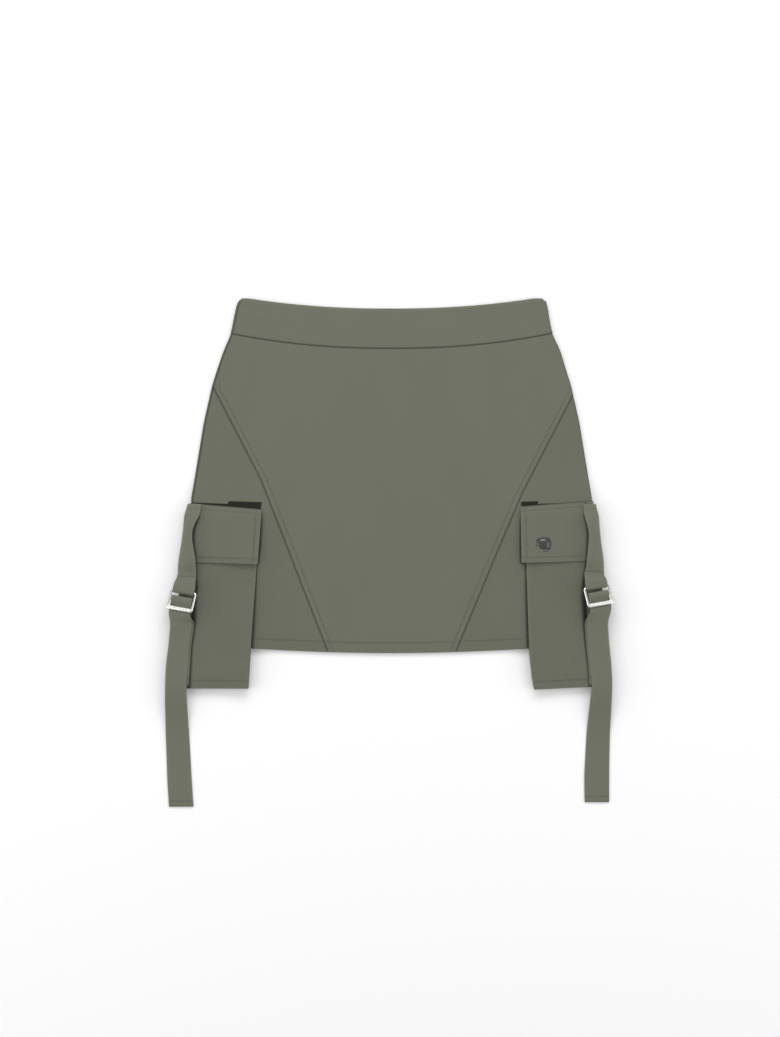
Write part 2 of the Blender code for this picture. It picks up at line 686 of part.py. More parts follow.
# ---------------------------------------------------------------- stud on the right flap
STUD_X = 166.9
STUD_Y = 10.3
Turned = namedtuple("Turned", "radius height")
STUD_PROFILE = [
    Turned(0, 0), Turned(0.97, 0), Turned(1.0, 0.5), Turned(0.94, 1.1), Turned(0.82, 1.3),
    Turned(0.72, 0.9), Turned(0.55, 1.5), Turned(0.3, 1.95), Turned(0, 2.1),
]


def make_stud():
    """A turned stud with a raised rim and a low dome, lying on the flap."""
    base = core(STUD_X, STUD_Y) + FLAP_R + FLAP / 2 + SEAM
    bm = bmesh.new()
    points = [bm.verts.new(Vector((row.radius * STUD_RADIUS, 0, row.height)) * MM)
              for row in STUD_PROFILE]
    edges = [bm.edges.new(pair) for pair in zip(points, points[1:])]
    bmesh.ops.spin(bm, geom=points + edges, axis=(0, 0, 1), cent=(0, 0, 0), steps=20,
                   angle=2 * math.pi, use_merge=True)
    bmesh.ops.remove_doubles(bm, verts=bm.verts, dist=0.00001)
    bmesh.ops.recalc_face_normals(bm, faces=bm.faces)
    bmesh.ops.translate(bm, verts=bm.verts, vec=place((STUD_X, STUD_Y, base)))
    made = add_object("flap_stud", bm, "dark_metal")
    made.data.shade_smooth()
    made.data.set_sharp_from_angle(angle=math.radians(40))


# ---------------------------------------------------------------- the whole skirt
clear_scene()
make_waistband()
make_panels()
for this_side in (LEFT, RIGHT):
    make_pocket(this_side)
    make_flap(this_side)
    make_upper_strap(this_side)
    make_lower_strap(this_side)
    make_slide(this_side)
make_stud()
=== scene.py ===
# %% [markdown]
# # A cargo skirt, laid flat
#
# This lesson dresses the solids of a cargo skirt in cloth, thread and metal. The solids fix every
# size. Here each cloth piece becomes a fine thin shell on the same form, with rolled edges, sewn
# seams, stitches and soft creases. Lengths are in millimetres until `place()` turns them into
# Blender's metres.

# %% Load the frame
import math
from collections import namedtuple

import bmesh
import bpy
import numpy as np
from mathutils import Matrix, Vector


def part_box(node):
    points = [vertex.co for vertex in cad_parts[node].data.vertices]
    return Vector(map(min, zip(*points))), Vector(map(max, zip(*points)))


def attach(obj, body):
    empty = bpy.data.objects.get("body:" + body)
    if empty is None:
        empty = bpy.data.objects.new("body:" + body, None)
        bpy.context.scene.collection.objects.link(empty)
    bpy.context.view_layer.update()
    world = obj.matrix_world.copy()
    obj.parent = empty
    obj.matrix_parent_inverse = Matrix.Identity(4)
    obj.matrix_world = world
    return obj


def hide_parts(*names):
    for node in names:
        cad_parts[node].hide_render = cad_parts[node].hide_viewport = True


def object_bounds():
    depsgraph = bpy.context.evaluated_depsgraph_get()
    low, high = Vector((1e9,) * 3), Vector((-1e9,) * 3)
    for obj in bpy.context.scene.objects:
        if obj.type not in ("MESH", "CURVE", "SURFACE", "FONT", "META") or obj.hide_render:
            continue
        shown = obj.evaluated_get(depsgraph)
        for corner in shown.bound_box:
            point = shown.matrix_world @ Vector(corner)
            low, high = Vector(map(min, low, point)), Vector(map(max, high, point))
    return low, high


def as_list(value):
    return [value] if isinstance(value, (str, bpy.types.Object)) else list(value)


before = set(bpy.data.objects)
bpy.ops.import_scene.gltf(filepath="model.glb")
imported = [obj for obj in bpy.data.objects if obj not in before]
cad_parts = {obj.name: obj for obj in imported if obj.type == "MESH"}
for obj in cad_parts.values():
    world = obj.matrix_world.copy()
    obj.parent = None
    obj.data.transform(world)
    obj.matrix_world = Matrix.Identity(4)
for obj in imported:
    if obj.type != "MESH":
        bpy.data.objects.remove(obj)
solid_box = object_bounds()
print("solids:", len(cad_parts), "box", solid_box)

# %% [markdown]
# ## Camera, floor and light
#
# A skirt laid flat is seen from straight above. A long lens keeps its edges parallel. The
# light comes from very large soft panels, so that the cloth is even and hollows go dark only
# softly; the darkest shade in seams, stitch furrows and gaps is painted on the cloth.

# %% Camera and studio
MM = 0.001
VIEW_HEIGHT = 1.1407        # metres of floor from the top of the view to its bottom
VIEW_MIDDLE = (0.00085, 0.0375)
LENS = 85.0
SENSOR = 36.0

camera_data = bpy.data.cameras.new("camera")
camera_data.lens = LENS
camera_data.sensor_width = SENSOR
camera = bpy.data.objects.new("camera", camera_data)
camera.location = (*VIEW_MIDDLE, VIEW_HEIGHT * LENS / SENSOR)
bpy.context.scene.collection.objects.link(camera)
bpy.context.scene.camera = camera
bpy.context.scene.view_settings.view_transform = "Standard"

Panel = namedtuple("Panel", "name place size power")
PANELS = [
    Panel("light_top", (0.0, 1.9, 1.7), (2.2, 1.2), 30.0),
    Panel("light_left", (-2.0, -0.1, 1.2), (1.4, 1.8), 15.0),
    Panel("light_right", (2.0, -0.1, 1.2), (1.4, 1.8), 12.0),
]
WORLD_STRENGTH = 0.62


def light_panel(panel):
    """A soft rectangle of light that faces the skirt."""
    data = bpy.data.lights.new(panel.name, "AREA")
    data.shape = "RECTANGLE"
    data.size, data.size_y = panel.size
    data.energy = panel.power
    light = bpy.data.objects.new(panel.name, data)
    light.location = panel.place
    light.rotation_euler = (-Vector(panel.place)).to_track_quat("-Z", "Y").to_euler()
    bpy.context.scene.collection.objects.link(light)


for each in PANELS:
    light_panel(each)
world = bpy.data.worlds.new("studio")
world.use_nodes = True
world.node_tree.nodes["Background"].inputs["Color"].default_value = (1, 1, 1, 1)
world.node_tree.nodes["Background"].inputs["Strength"].default_value = WORLD_STRENGTH
bpy.context.scene.world = world
print("camera at", tuple(round(part, 3) for part in camera.location))

# %% [markdown]
# ## The cut of the skirt
#
# The skirt is a flat tube. Front and back lie the same distance either side of a middle level,
# the core, and turn round the side fold on one small arc. Short tables give the half widths of
# the folds, the height of the core, the slanting seams and the pockets. They are read with a
# little rounding, so that the finer shell has no corners where the rows meet.

# %% Sizes and tables
TABLE_CENTRE = np.array([-1.95, 1.3, 0.0])
LEFT, RIGHT = -1, 1
WALL = 0.9                  # panels and pocket leaves
BAND_WALL = 1.5
FLAP_WALL = 1.3
STRAP_WALL = 1.3
STRAP_WIDTH = 24.5
GAP = 0.12                  # space between neighbours at a seam

SKIRT_R = 0.9               # distances from the core to the middle of each layer
BAND_R = 1.2
INNER_R = 2.3
OUTER_R = 3.7
FLAP_TOP_R = 2.5
FLAP_R = 5.3
STRAP_STEP = 1.8

Fold = namedtuple("Fold", "y left right")
FOLDS = [
    Fold(281, 165, 168), Fold(276, 169, 171), Fold(257, 173, 174), Fold(242, 176, 177),
    Fold(224, 184, 186), Fold(204, 191, 192), Fold(185, 197, 198), Fold(145, 206, 207),
    Fold(99, 213.5, 214.5), Fold(59, 220, 221), Fold(50, 219.4, 220.5), Fold(26, 221, 222),
    Fold(6, 224, 224.5), Fold(-23, 228, 228), Fold(-51, 231.5, 231), Fold(-106, 236, 235),
    Fold(-152, 237, 236.5),
]
FOLD_INSIDE = 1.4           # the line that every layer turns round lies this far inside

Level = namedtuple("Level", "y middle side at_fold")
LEVELS = [
    Level(285, 2.0, 2.0, 0), Level(225, 2.0, 2.0, 0), Level(200, 1.4, 1.4, 0),
    Level(85, 1.4, 1.4, 0), Level(56, 1.4, 3.4, 2.2), Level(42, 1.4, 6.0, 2.6),
    Level(-12, 1.4, 6.0, 2.6), Level(-24, 1.4, 5.1, 1.6), Level(-36, 1.4, 4.2, 0.8),
    Level(-65, 1.4, 4.2, 0), Level(-155, 1.4, 4.2, 0),
]
RAMP = 28.0
FOLD_BAND = 16.0

Pair = namedtuple("Pair", "y left right")
STACK_EDGE = [Pair(85, 141.5, 142), Pair(49, 141.5, 142), Pair(-12, 146.3, 143.1),
              Pair(-36, 148.5, 149.0), Pair(-104, 154, 151.6), Pair(-152, 157, 158)]
FLAP_EDGE = [Pair(52, 141.6, 142.2), Pair(-12, 146.3, 143.1)]
POCKET_EDGE = [Pair(38, 146.6, 147.4), Pair(-12, 147.4, 148.5), Pair(-104, 154, 151.6),
               Pair(-135, 156, 154.8), Pair(-152, 156.8, 157.9)]
SLANT = [Pair(181.8, 195, 204.4), Pair(172.4, 189.8, 199), Pair(83.4, 143.9, 152.9),
         Pair(66.3, 136.9, 144), Pair(-18.9, 103.9, 108), Pair(-28.4, 100.3, 104.1),
         Pair(-106, 70, 72), Pair(-112, 67.7, 69.5)]
SLANT_TOP = {LEFT: 181.8, RIGHT: 172.4}

Flap = namedtuple("Flap", "top_out top_in low_out low_in")
FLAP_LIMITS = {LEFT: Flap(55.3, 48.7, -9.0, -11.1), RIGHT: Flap(58.1, 51.8, -7.6, -9.6)}
FLAP_INNER, FLAP_OUTER, FLAP_CLEAR = 142.0, 220.0, 42.0
MOUTH = 38.0
LEFT_SEAM = 0.75
BACK_PEEK = 1.2


def smooth(share):
    """An even rise from 0 to 1 that starts and ends level."""
    share = np.clip(share, 0.0, 1.0)
    return share * share * (3 - 2 * share)


def read(table, column, y, reach=0.0):
    """A column of a table at y, rounded over the given reach above and below."""
    rows = sorted(table, key=lambda row: row.y)
    ys = [row.y for row in rows]
    values = [getattr(row, column) for row in rows]
    steps = (-1, -0.5, 0, 0.5, 1)
    samples = [np.interp(np.asarray(y) + step * reach, ys, values) for step in steps]
    return sum(samples) / len(samples)


def half(table, side, y, reach=0.0):
    """Half widths, left of the middle where side is negative and right where it is positive."""
    return np.where(np.asarray(side) < 0, read(table, "left", y, reach),
                    read(table, "right", y, reach))


def fold_at(side, y):
    return half(FOLDS, side, y, 5.0) - FOLD_INSIDE


def core(x, y):
    """Height of the level that front and back lie either side of."""
    side = np.sign(x) + (x == 0)
    edge = half(STACK_EDGE, side, y, 3.0)
    share = smooth((np.abs(x) - (edge - RAMP)) / RAMP)
    near = smooth(1 - (fold_at(side, y) - np.abs(x)) / FOLD_BAND)
    middle = read(LEVELS, "middle", y, 4.0)
    beside = read(LEVELS, "side", y, 4.0)
    return middle + (beside - middle) * share + read(LEVELS, "at_fold", y, 4.0) * near


def wrap(q, y, radius, face, height=0.0):
    """Lays the flat cloth on its form. q runs across it from the middle and goes on round
    the side fold to the other face. face is 1 for the front and -1 for the back."""
    side = np.sign(q) + (q == 0)
    centre = fold_at(side, y)
    over = np.abs(q) - centre
    turn = np.clip(over / radius, 0, math.pi)
    past = np.maximum(over - math.pi * radius, 0)
    flat = np.minimum(np.abs(q), centre) - past
    reach = radius + height
    x = side * (flat + reach * np.sin(turn))
    z = core(side * flat, y) + face * reach * np.cos(turn)
    return np.stack([x, np.broadcast_to(y, x.shape), z], axis=-1)


def place(points):
    """Points of the tables, in metres from the origin."""
    return (np.asarray(points, float) - TABLE_CENTRE) * MM


def waist_edge(q):
    return 268.2 + 12.1 * np.minimum(1.0, (q / 157.0) ** 2)


def waist_seam(q):
    return 225.7 + 16.6 * np.minimum(1.0, np.abs(q) / 177.0) ** 2.2


def hem_edge(q):
    return -108.8 + 5.2 * np.minimum(2.0, (q / 155.0) ** 2)


print("fold at the hem:", float(fold_at(LEFT, -100.0)),
      "core in a pocket:", float(core(180.0, 0.0)))

# %% [markdown]
# ## Finishes
#
# The cloth is a matt olive twill. One group makes its fine diagonal ribs and the slubs of its
# yarn. Another reads how far each point is from a seam, a fold or a row of stitches: it sinks
# bumps at stitches and seams, paints shade into them and into gaps, and paints a highlight
# along folded edges. A noise in each material gives the soft unevenness of dyed cloth. The
# groups give values only, and each material keeps its own shader.

# %% Shader group helpers
SocketType = {"value": "NodeSocketFloat", "vector": "NodeSocketVector", "colour": "NodeSocketColor"}


def new_group(name, inputs, outputs):
    """A shader node group with named sockets, and its input and output nodes."""
    tree = bpy.data.node_groups.new(name, "ShaderNodeTree")
    for label, kind, value in inputs:
        socket = tree.interface.new_socket(label, in_out="INPUT", socket_type=SocketType[kind])
        if value is not None:
            socket.default_value = value
    for label, kind in outputs:
        tree.interface.new_socket(label, in_out="OUTPUT", socket_type=SocketType[kind])
    start = tree.nodes.new("NodeGroupInput")
    end = tree.nodes.new("NodeGroupOutput")
    return tree, start.outputs, end.inputs


def node(tree, kind, **settings):
    """A node with some of its settings and input values given by name."""
    made = tree.nodes.new(kind)
    for key, value in settings.items():
        label = key.replace("_", " ")
        if hasattr(made, key):
            setattr(made, key, value)
        else:
            made.inputs[label].default_value = value
    return made


def maths(tree, operation, *values, clamp=False):
    """One sum on sockets or numbers. Gives the output socket."""
    made = tree.nodes.new("ShaderNodeMath")
    made.operation = operation
    made.use_clamp = clamp
    for socket, value in zip(made.inputs, values):
        if isinstance(value, (int, float)):
            socket.default_value = value
        else:
            tree.links.new(value, socket)
    return made.outputs[0]


def vector_maths(tree, operation, first, second):
    made = tree.nodes.new("ShaderNodeVectorMath")
    made.operation = operation
    for socket, value in zip(made.inputs, (first, second)):
        if isinstance(value, tuple):
            socket.default_value = value
        else:
            tree.links.new(value, socket)
    return made.outputs[0]


def bell(tree, distance, width):
    """1 where the distance is 0, fading to 0 over about the width."""
    share = maths(tree, "DIVIDE", distance, width)
    return maths(tree, "EXPONENT", maths(tree, "MULTIPLY", maths(tree, "POWER", share, 2.0), -1.0))


print("group helpers ready")

# %% Twill group
def twill_group():
    """Diagonal ribs of a fine twill, and the longer slubs of its yarns."""
    tree, given, out = new_group(
        "Fine twill",
        [("Vector", "vector", None), ("Ribs per metre", "value", 1250.0),
         ("Slub", "value", 0.5)],
        [("Height", "value"), ("Yarn", "value")])
    turned = node(tree, "ShaderNodeVectorRotate", rotation_type="Z_AXIS", Angle=math.radians(62))
    tree.links.new(given["Vector"], turned.inputs["Vector"])
    part = node(tree, "ShaderNodeSeparateXYZ")
    tree.links.new(turned.outputs[0], part.inputs[0])
    turns = maths(tree, "MULTIPLY", part.outputs["X"], given["Ribs per metre"])
    ribs = maths(tree, "SINE", maths(tree, "MULTIPLY", turns, 2 * math.pi))
    long_yarn = vector_maths(tree, "MULTIPLY", given["Vector"], (1400.0, 55.0, 1.0))
    cross_yarn = vector_maths(tree, "MULTIPLY", given["Vector"], (70.0, 1500.0, 1.0))
    warp = node(tree, "ShaderNodeTexNoise", Scale=1.0, Detail=2.0, Roughness=0.6)
    weft = node(tree, "ShaderNodeTexNoise", Scale=1.0, Detail=1.0, Roughness=0.5)
    tree.links.new(long_yarn, warp.inputs["Vector"])
    tree.links.new(cross_yarn, weft.inputs["Vector"])
    yarn = maths(tree, "ADD", maths(tree, "MULTIPLY", warp.outputs["Fac"], 0.7),
                 maths(tree, "MULTIPLY", weft.outputs["Fac"], 0.3))
    height = maths(tree, "ADD", maths(tree, "MULTIPLY", ribs, 0.35),
                   maths(tree, "MULTIPLY", yarn, given["Slub"]))
    tree.links.new(height, out["Height"])
    tree.links.new(yarn, out["Yarn"])
    return tree


TWILL = twill_group()
print("group:", TWILL.name)

# %% Group of stitch furrows, seam valleys, painted shade and painted highlight
STITCH_HALF = 0.9           # half width of the furrow that a row of stitches pulls
SEAM_HALF = 1.0             # half width of the valley of a seam
FOLD_HIGHLIGHT = 1.6                # width of the painted highlight along a folded edge


def sewn_and_shade_group():
    """Furrows at stitches and valleys at seams, as bumps with painted shade in them; a painted
    highlight along folded edges; painted shadow in gaps.
    """
    tree, given, out = new_group(
        "Sewn edges with painted shade",
        [("Vector", "vector", None), ("Stitches", "vector", None), ("Rims", "vector", None),
         ("Pucker", "value", 0.5)],
        [("Height", "value"), ("Painted shade", "value"), ("Light", "value")])
    rows = node(tree, "ShaderNodeSeparateXYZ")
    tree.links.new(given["Stitches"], rows.inputs[0])
    nearest = maths(tree, "ABSOLUTE", rows.outputs[0])
    for number in (1, 2):
        nearest = maths(tree, "MINIMUM", nearest, maths(tree, "ABSOLUTE", rows.outputs[number]))
    rims = node(tree, "ShaderNodeSeparateXYZ")
    tree.links.new(given["Rims"], rims.inputs[0])
    furrow = bell(tree, nearest, STITCH_HALF)
    valley = bell(tree, rims.outputs[0], SEAM_HALF)
    # painted highlight along folded edges
    fold_highlight = bell(tree, rims.outputs[1], FOLD_HIGHLIGHT)
    # painted shadow beside a raised edge: full where the gap share is 0, none from 1 on
    gap = maths(tree, "SUBTRACT", 1.0, rims.outputs[2], clamp=True)
    gap = maths(tree, "SMOOTH_MIN", gap, 1.0, 0.2)
    waves = node(tree, "ShaderNodeTexNoise", Scale=130.0, Detail=2.0, Roughness=0.5)
    tree.links.new(given["Vector"], waves.inputs["Vector"])
    near = maths(tree, "ADD", bell(tree, nearest, 5.0), bell(tree, rims.outputs[0], 6.0))
    pucker = maths(tree, "MULTIPLY", maths(tree, "MULTIPLY", waves.outputs["Fac"], near),
                   given["Pucker"])
    low = maths(tree, "ADD", maths(tree, "MULTIPLY", furrow, -0.35),
                maths(tree, "MULTIPLY", valley, -0.5))
    tree.links.new(maths(tree, "ADD", low, pucker), out["Height"])
    # painted shade in stitch furrows and seam valleys, and the painted shadow in gaps
    shade = maths(tree, "ADD", maths(tree, "MULTIPLY", furrow, 0.14),
                  maths(tree, "MULTIPLY", valley, 0.55))
    shade = maths(tree, "MAXIMUM", shade, gap)
    tree.links.new(maths(tree, "MINIMUM", shade, 1.0), out["Painted shade"])
    tree.links.new(fold_highlight, out["Light"])
    return tree


SEWN_AND_SHADE = sewn_and_shade_group()
print("group:", SEWN_AND_SHADE.name)

# %% [markdown]
# ## Cloth materials
#
# Body, pockets, flaps and straps are one cloth. The light falls on each a little differently,
# and that is painted in: each has its own lighter or darker copy of one olive. The sheen of
# brushed cotton is set on the shader itself.

# %% Cloth materials
OLIVE = (0.134, 0.140, 0.107)


def use(tree, group, **links):
    """A group placed in a material, with sockets linked or values set by name."""
    made = tree.nodes.new("ShaderNodeGroup")
    made.node_tree = group
    for key, value in links.items():
        socket = made.inputs[key.replace("_", " ")]
        if isinstance(value, (int, float)):
            socket.default_value = value
        else:
            tree.links.new(value, socket)
    return made


def colour_node(tree, colour):
    made = tree.nodes.new("ShaderNodeRGB")
    made.outputs[0].default_value = (*colour, 1.0)
    return made.outputs[0]


def mix(tree, share, first, second, mode="MIX"):
    made = tree.nodes.new("ShaderNodeMix")
    made.data_type = "RGBA"
    made.blend_type = mode
    for name, value in (("Factor", share), ("A", first), ("B", second)):
        socket = next(s for s in made.inputs if s.name == name and s.enabled)
        if isinstance(value, (int, float)):
            socket.default_value = value
        else:
            tree.links.new(value, socket)
    return next(s for s in made.outputs if s.enabled)


def cloth_material(name, painted_light_tone=1.0, tint=(1.0, 1.0, 1.0)):
    """Olive twill that reads the piece's own map, stitch rows and rims, with painted shade at seams,
    furrows and gaps and a painted highlight along folded edges.
    """
    made = bpy.data.materials.new(name)
    made.use_nodes = True
    tree = made.node_tree
    shader = tree.nodes["Principled BSDF"]
    flat = node(tree, "ShaderNodeUVMap", uv_map="cloth").outputs["UV"]
    stitches = node(tree, "ShaderNodeAttribute", attribute_name="stitches").outputs["Vector"]
    rims = node(tree, "ShaderNodeAttribute", attribute_name="rims").outputs["Vector"]
    twill = use(tree, TWILL, Vector=flat)
    sewn = use(tree, SEWN_AND_SHADE, Vector=flat, Stitches=stitches, Rims=rims)
    mottle = node(tree, "ShaderNodeTexNoise", Scale=9.0, Detail=3.0, Roughness=0.55)
    stretched = vector_maths(tree, "MULTIPLY", flat, (2.6, 1.0, 1.0))
    tree.links.new(stretched, mottle.inputs["Vector"])
    base = [part * painted_light_tone * hue for part, hue in zip(OLIVE, tint)]
    light = colour_node(tree, [part * 1.07 for part in base])
    dark = colour_node(tree, [part * 0.93 for part in base])
    painted_shade = colour_node(tree, [part * 0.06 for part in base])
    painted_highlight = colour_node(tree, [part * 1.22 for part in base])
    yarn = maths(tree, "ADD", maths(tree, "MULTIPLY", mottle.outputs["Fac"], 0.6),
                 maths(tree, "MULTIPLY", twill.outputs["Yarn"], 0.4), clamp=True)
    colour = mix(tree, yarn, dark, light)
    # a painted highlight along folded edges, then painted shade in seams, furrows and gaps
    colour = mix(tree, maths(tree, "MULTIPLY", sewn.outputs["Light"], 0.45), colour, painted_highlight)
    colour = mix(tree, sewn.outputs["Painted shade"], colour, painted_shade)
    tree.links.new(colour, shader.inputs["Base Color"])
    fine = node(tree, "ShaderNodeBump", Strength=0.25, Distance=0.0002)
    tree.links.new(twill.outputs["Height"], fine.inputs["Height"])
    soft = node(tree, "ShaderNodeBump", Strength=0.6, Distance=0.001)
    tree.links.new(sewn.outputs["Height"], soft.inputs["Height"])
    tree.links.new(fine.outputs["Normal"], soft.inputs["Normal"])
    tree.links.new(soft.outputs["Normal"], shader.inputs["Normal"])
    shader.inputs["Roughness"].default_value = 0.88
    shader.inputs["Specular IOR Level"].default_value = 0.25
    shader.inputs["Sheen Weight"].default_value = 0.12
    shader.inputs["Sheen Roughness"].default_value = 0.5
    shader.inputs["Sheen Tint"].default_value = (0.80, 0.84, 0.72, 1.0)
    return made


# The number after each name is painted light: a lighter or darker copy of the olive for how the
# light falls on that piece.
CLOTH = {
    "body": cloth_material("olive_body"),
    "side": cloth_material("olive_side", 0.95),
    "pocket": cloth_material("olive_pocket", 0.93),
    "flap": cloth_material("olive_flap", 0.97),
    "strap": cloth_material("olive_strap", 1.06),
}
print("cloth materials:", sorted(CLOTH))

# %% Thread and metal materials
def plain_material(name, colour, roughness, metallic=0.0):
    made = bpy.data.materials.new(name)
    made.use_nodes = True
    shader = made.node_tree.nodes["Principled BSDF"]
    shader.inputs["Base Color"].default_value = (*colour, 1.0)
    shader.inputs["Roughness"].default_value = roughness
    shader.inputs["Metallic"].default_value = metallic
    return made, made.node_tree, shader


def thread_material():
    """Spun thread: a tight twist along a row of stitches."""
    made, tree, shader = plain_material("olive_thread", [part * 0.92 for part in OLIVE], 0.7)
    where = node(tree, "ShaderNodeTexCoord").outputs["Object"]
    twist = node(tree, "ShaderNodeTexNoise", Scale=4200.0, Detail=1.0)
    tree.links.new(where, twist.inputs["Vector"])
    bump = node(tree, "ShaderNodeBump", Strength=0.4, Distance=0.0001)
    tree.links.new(twist.outputs["Fac"], bump.inputs["Height"])
    tree.links.new(bump.outputs["Normal"], shader.inputs["Normal"])
    shader.inputs["Sheen Weight"].default_value = 0.2
    return made


def steel_material():
    """Polished plating with the faint waves and hazy rubs of a cast and tumbled slide."""
    made, tree, shader = plain_material("bright_plating", (0.83, 0.83, 0.81), 0.12, 1.0)
    where = node(tree, "ShaderNodeTexCoord").outputs["Object"]
    waves = node(tree, "ShaderNodeTexNoise", Scale=260.0, Detail=2.0)
    rubs = node(tree, "ShaderNodeTexNoise", Scale=900.0, Detail=3.0, Roughness=0.7)
    tree.links.new(where, waves.inputs["Vector"])
    tree.links.new(where, rubs.inputs["Vector"])
    rough = maths(tree, "ADD", maths(tree, "MULTIPLY", rubs.outputs["Fac"], 0.14), 0.05)
    tree.links.new(rough, shader.inputs["Roughness"])
    bump = node(tree, "ShaderNodeBump", Strength=0.25, Distance=0.0003)
    tree.links.new(waves.outputs["Fac"], bump.inputs["Height"])
    tree.links.new(bump.outputs["Normal"], shader.inputs["Normal"])
    return made


def stud_material():
    """Dark nickel, turned on a lathe: fine rings round its middle, brighter where it is rubbed."""
    made, tree, shader = plain_material("dark_nickel", (0.10, 0.10, 0.095), 0.28, 1.0)
    where = node(tree, "ShaderNodeTexCoord").outputs["UV"]
    rings = node(tree, "ShaderNodeTexNoise", Scale=1.0, Detail=1.0)
    tree.links.new(vector_maths(tree, "MULTIPLY", where, (2.0, 160.0, 1.0)),
                   rings.inputs["Vector"])
    rough = maths(tree, "ADD", maths(tree, "MULTIPLY", rings.outputs["Fac"], 0.2), 0.16)
    tree.links.new(rough, shader.inputs["Roughness"])
    bump = node(tree, "ShaderNodeBump", Strength=0.2, Distance=0.0001)
    tree.links.new(rings.outputs["Fac"], bump.inputs["Height"])
    tree.links.new(bump.outputs["Normal"], shader.inputs["Normal"])
    return made


THREAD = thread_material()
STEEL = steel_material()
NICKEL = stud_material()
print("trim materials:", THREAD.name, STEEL.name, NICKEL.name)

# %% [markdown]
# ## Making a sheet of cloth
#
# Every piece starts as Blender's flat grid. Its rows and columns are crowded towards the edges,
# where cloth rolls over, and `fill()` spreads them between the piece's four sides, each of which
# may be curved or slanting. The flat points are kept as the piece's map, so that the weave
# follows the grain. Creases are soft ridges and troughs placed one by one.

# %% Grids between four sides
STEP = 3.0
CROWD = [0.0, 0.35, 0.9, 1.8, 3.2]      # distances of the first rows from an edge
FAR = 60.0


def stops(length, step=STEP):
    """Shares of a length for the rows of a grid, closer together at both ends."""
    middle = max(2, int((length - 2 * CROWD[-1]) / step))
    inner = [CROWD[-1] + (length - 2 * CROWD[-1]) * k / middle for k in range(1, middle)]
    every = CROWD + inner + [length - d for d in reversed(CROWD)]
    return np.array(every) / length


def fill(u, v, low, high, left, right):
    """Spreads shares between the edges: low and high are y for each q, left and right q for y."""
    q = np.zeros_like(u)
    y = low(q) + (high(q) - low(q)) * v
    for _ in range(5):
        q = left(y) + (right(y) - left(y)) * u
        y = low(q) + (high(q) - low(q)) * v
    return q, y


def across_edge(value, edge, at):
    """Distance from an edge, measured square to it where the edge slants."""
    slope = (edge(at + 0.5) - edge(at - 0.5))
    return np.abs(value - edge(at)) / np.sqrt(1 + slope ** 2)


Crease = namedtuple("Crease", "x y length width turn depth")


def creased(creases, x, y):
    """Sum of soft ridges and troughs at the points. turn is in degrees from the X axis."""
    height = np.zeros_like(np.asarray(x, float))
    for crease in creases:
        angle = math.radians(crease.turn)
        along = (x - crease.x) * math.cos(angle) + (y - crease.y) * math.sin(angle)
        across = (y - crease.y) * math.cos(angle) - (x - crease.x) * math.sin(angle)
        spread = (along / crease.length) ** 2 + (across / crease.width) ** 2
        height += crease.depth * np.exp(-spread)
    return height


def finish_piece(name, bm, material, replaces=(), wall=0.0):
    """Turns a bmesh into a piece that rides with the skirt and stands for its solids."""
    mesh = bpy.data.meshes.new(name)
    bm.to_mesh(mesh)
    bm.free()
    mesh.materials.append(material)
    mesh.shade_smooth()
    piece = bpy.data.objects.new(name, mesh)
    bpy.context.scene.collection.objects.link(piece)
    if wall:
        thick = piece.modifiers.new("wall", "SOLIDIFY")
        thick.thickness = wall * MM
        thick.offset = 0.0
        thick.use_even_offset = False
        mesh.set_sharp_from_angle(angle=math.radians(60))
    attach(piece, "root")
    if replaces:
        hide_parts(*replaces)
    return piece


def compare(piece, solid):
    """Prints how far the piece's box reaches past its solid's box, in millimetres."""
    graph = bpy.context.evaluated_depsgraph_get()
    corners = [Vector(c) for c in piece.evaluated_get(graph).bound_box]
    low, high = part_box(solid)
    proud = [max(low[k] - min(c[k] for c in corners), max(c[k] for c in corners) - high[k]) * 1000
             for k in range(3)]
    faces = sum(len(p.vertices) - 2 for p in piece.evaluated_get(graph).data.polygons)
    print(piece.name, "triangles", faces, "proud of its solid by", [round(p, 1) for p in proud])


def grid_piece(name, across, along, shape, material, wall):
    """A sheet from a grid. shape(u, v) gives its points, flat map, stitch rows and rims."""
    bm = bmesh.new()
    columns, rows = len(across), len(along)
    bmesh.ops.create_grid(bm, x_segments=columns - 1, y_segments=rows - 1, size=1.0)
    bm.verts.ensure_lookup_table()
    u = np.tile(across, rows)
    v = np.repeat(along, columns)
    points, flat, stitches, rims = shape(u, v)
    spots = place(points)
    stitch_layer = bm.verts.layers.float_vector.new("stitches")
    rim_layer = bm.verts.layers.float_vector.new("rims")
    for number, vert in enumerate(bm.verts):
        vert.co = spots[number]
        vert[stitch_layer] = stitches[number]
        vert[rim_layer] = rims[number]
    cloth_map = bm.loops.layers.uv.new("cloth")
    for face in bm.faces:
        for loop in face.loops:
            loop[cloth_map].uv = flat[loop.vert.index] * MM
    return finish_piece(name, bm, material, (name[:-6],), wall)


print("rows for 30 mm:", [round(float(s) * 30, 1) for s in stops(30.0)])

# %% One recipe for every flat piece
ROLL = 0.5                  # how far an edge rolls down
ROLL_REACH = 0.8


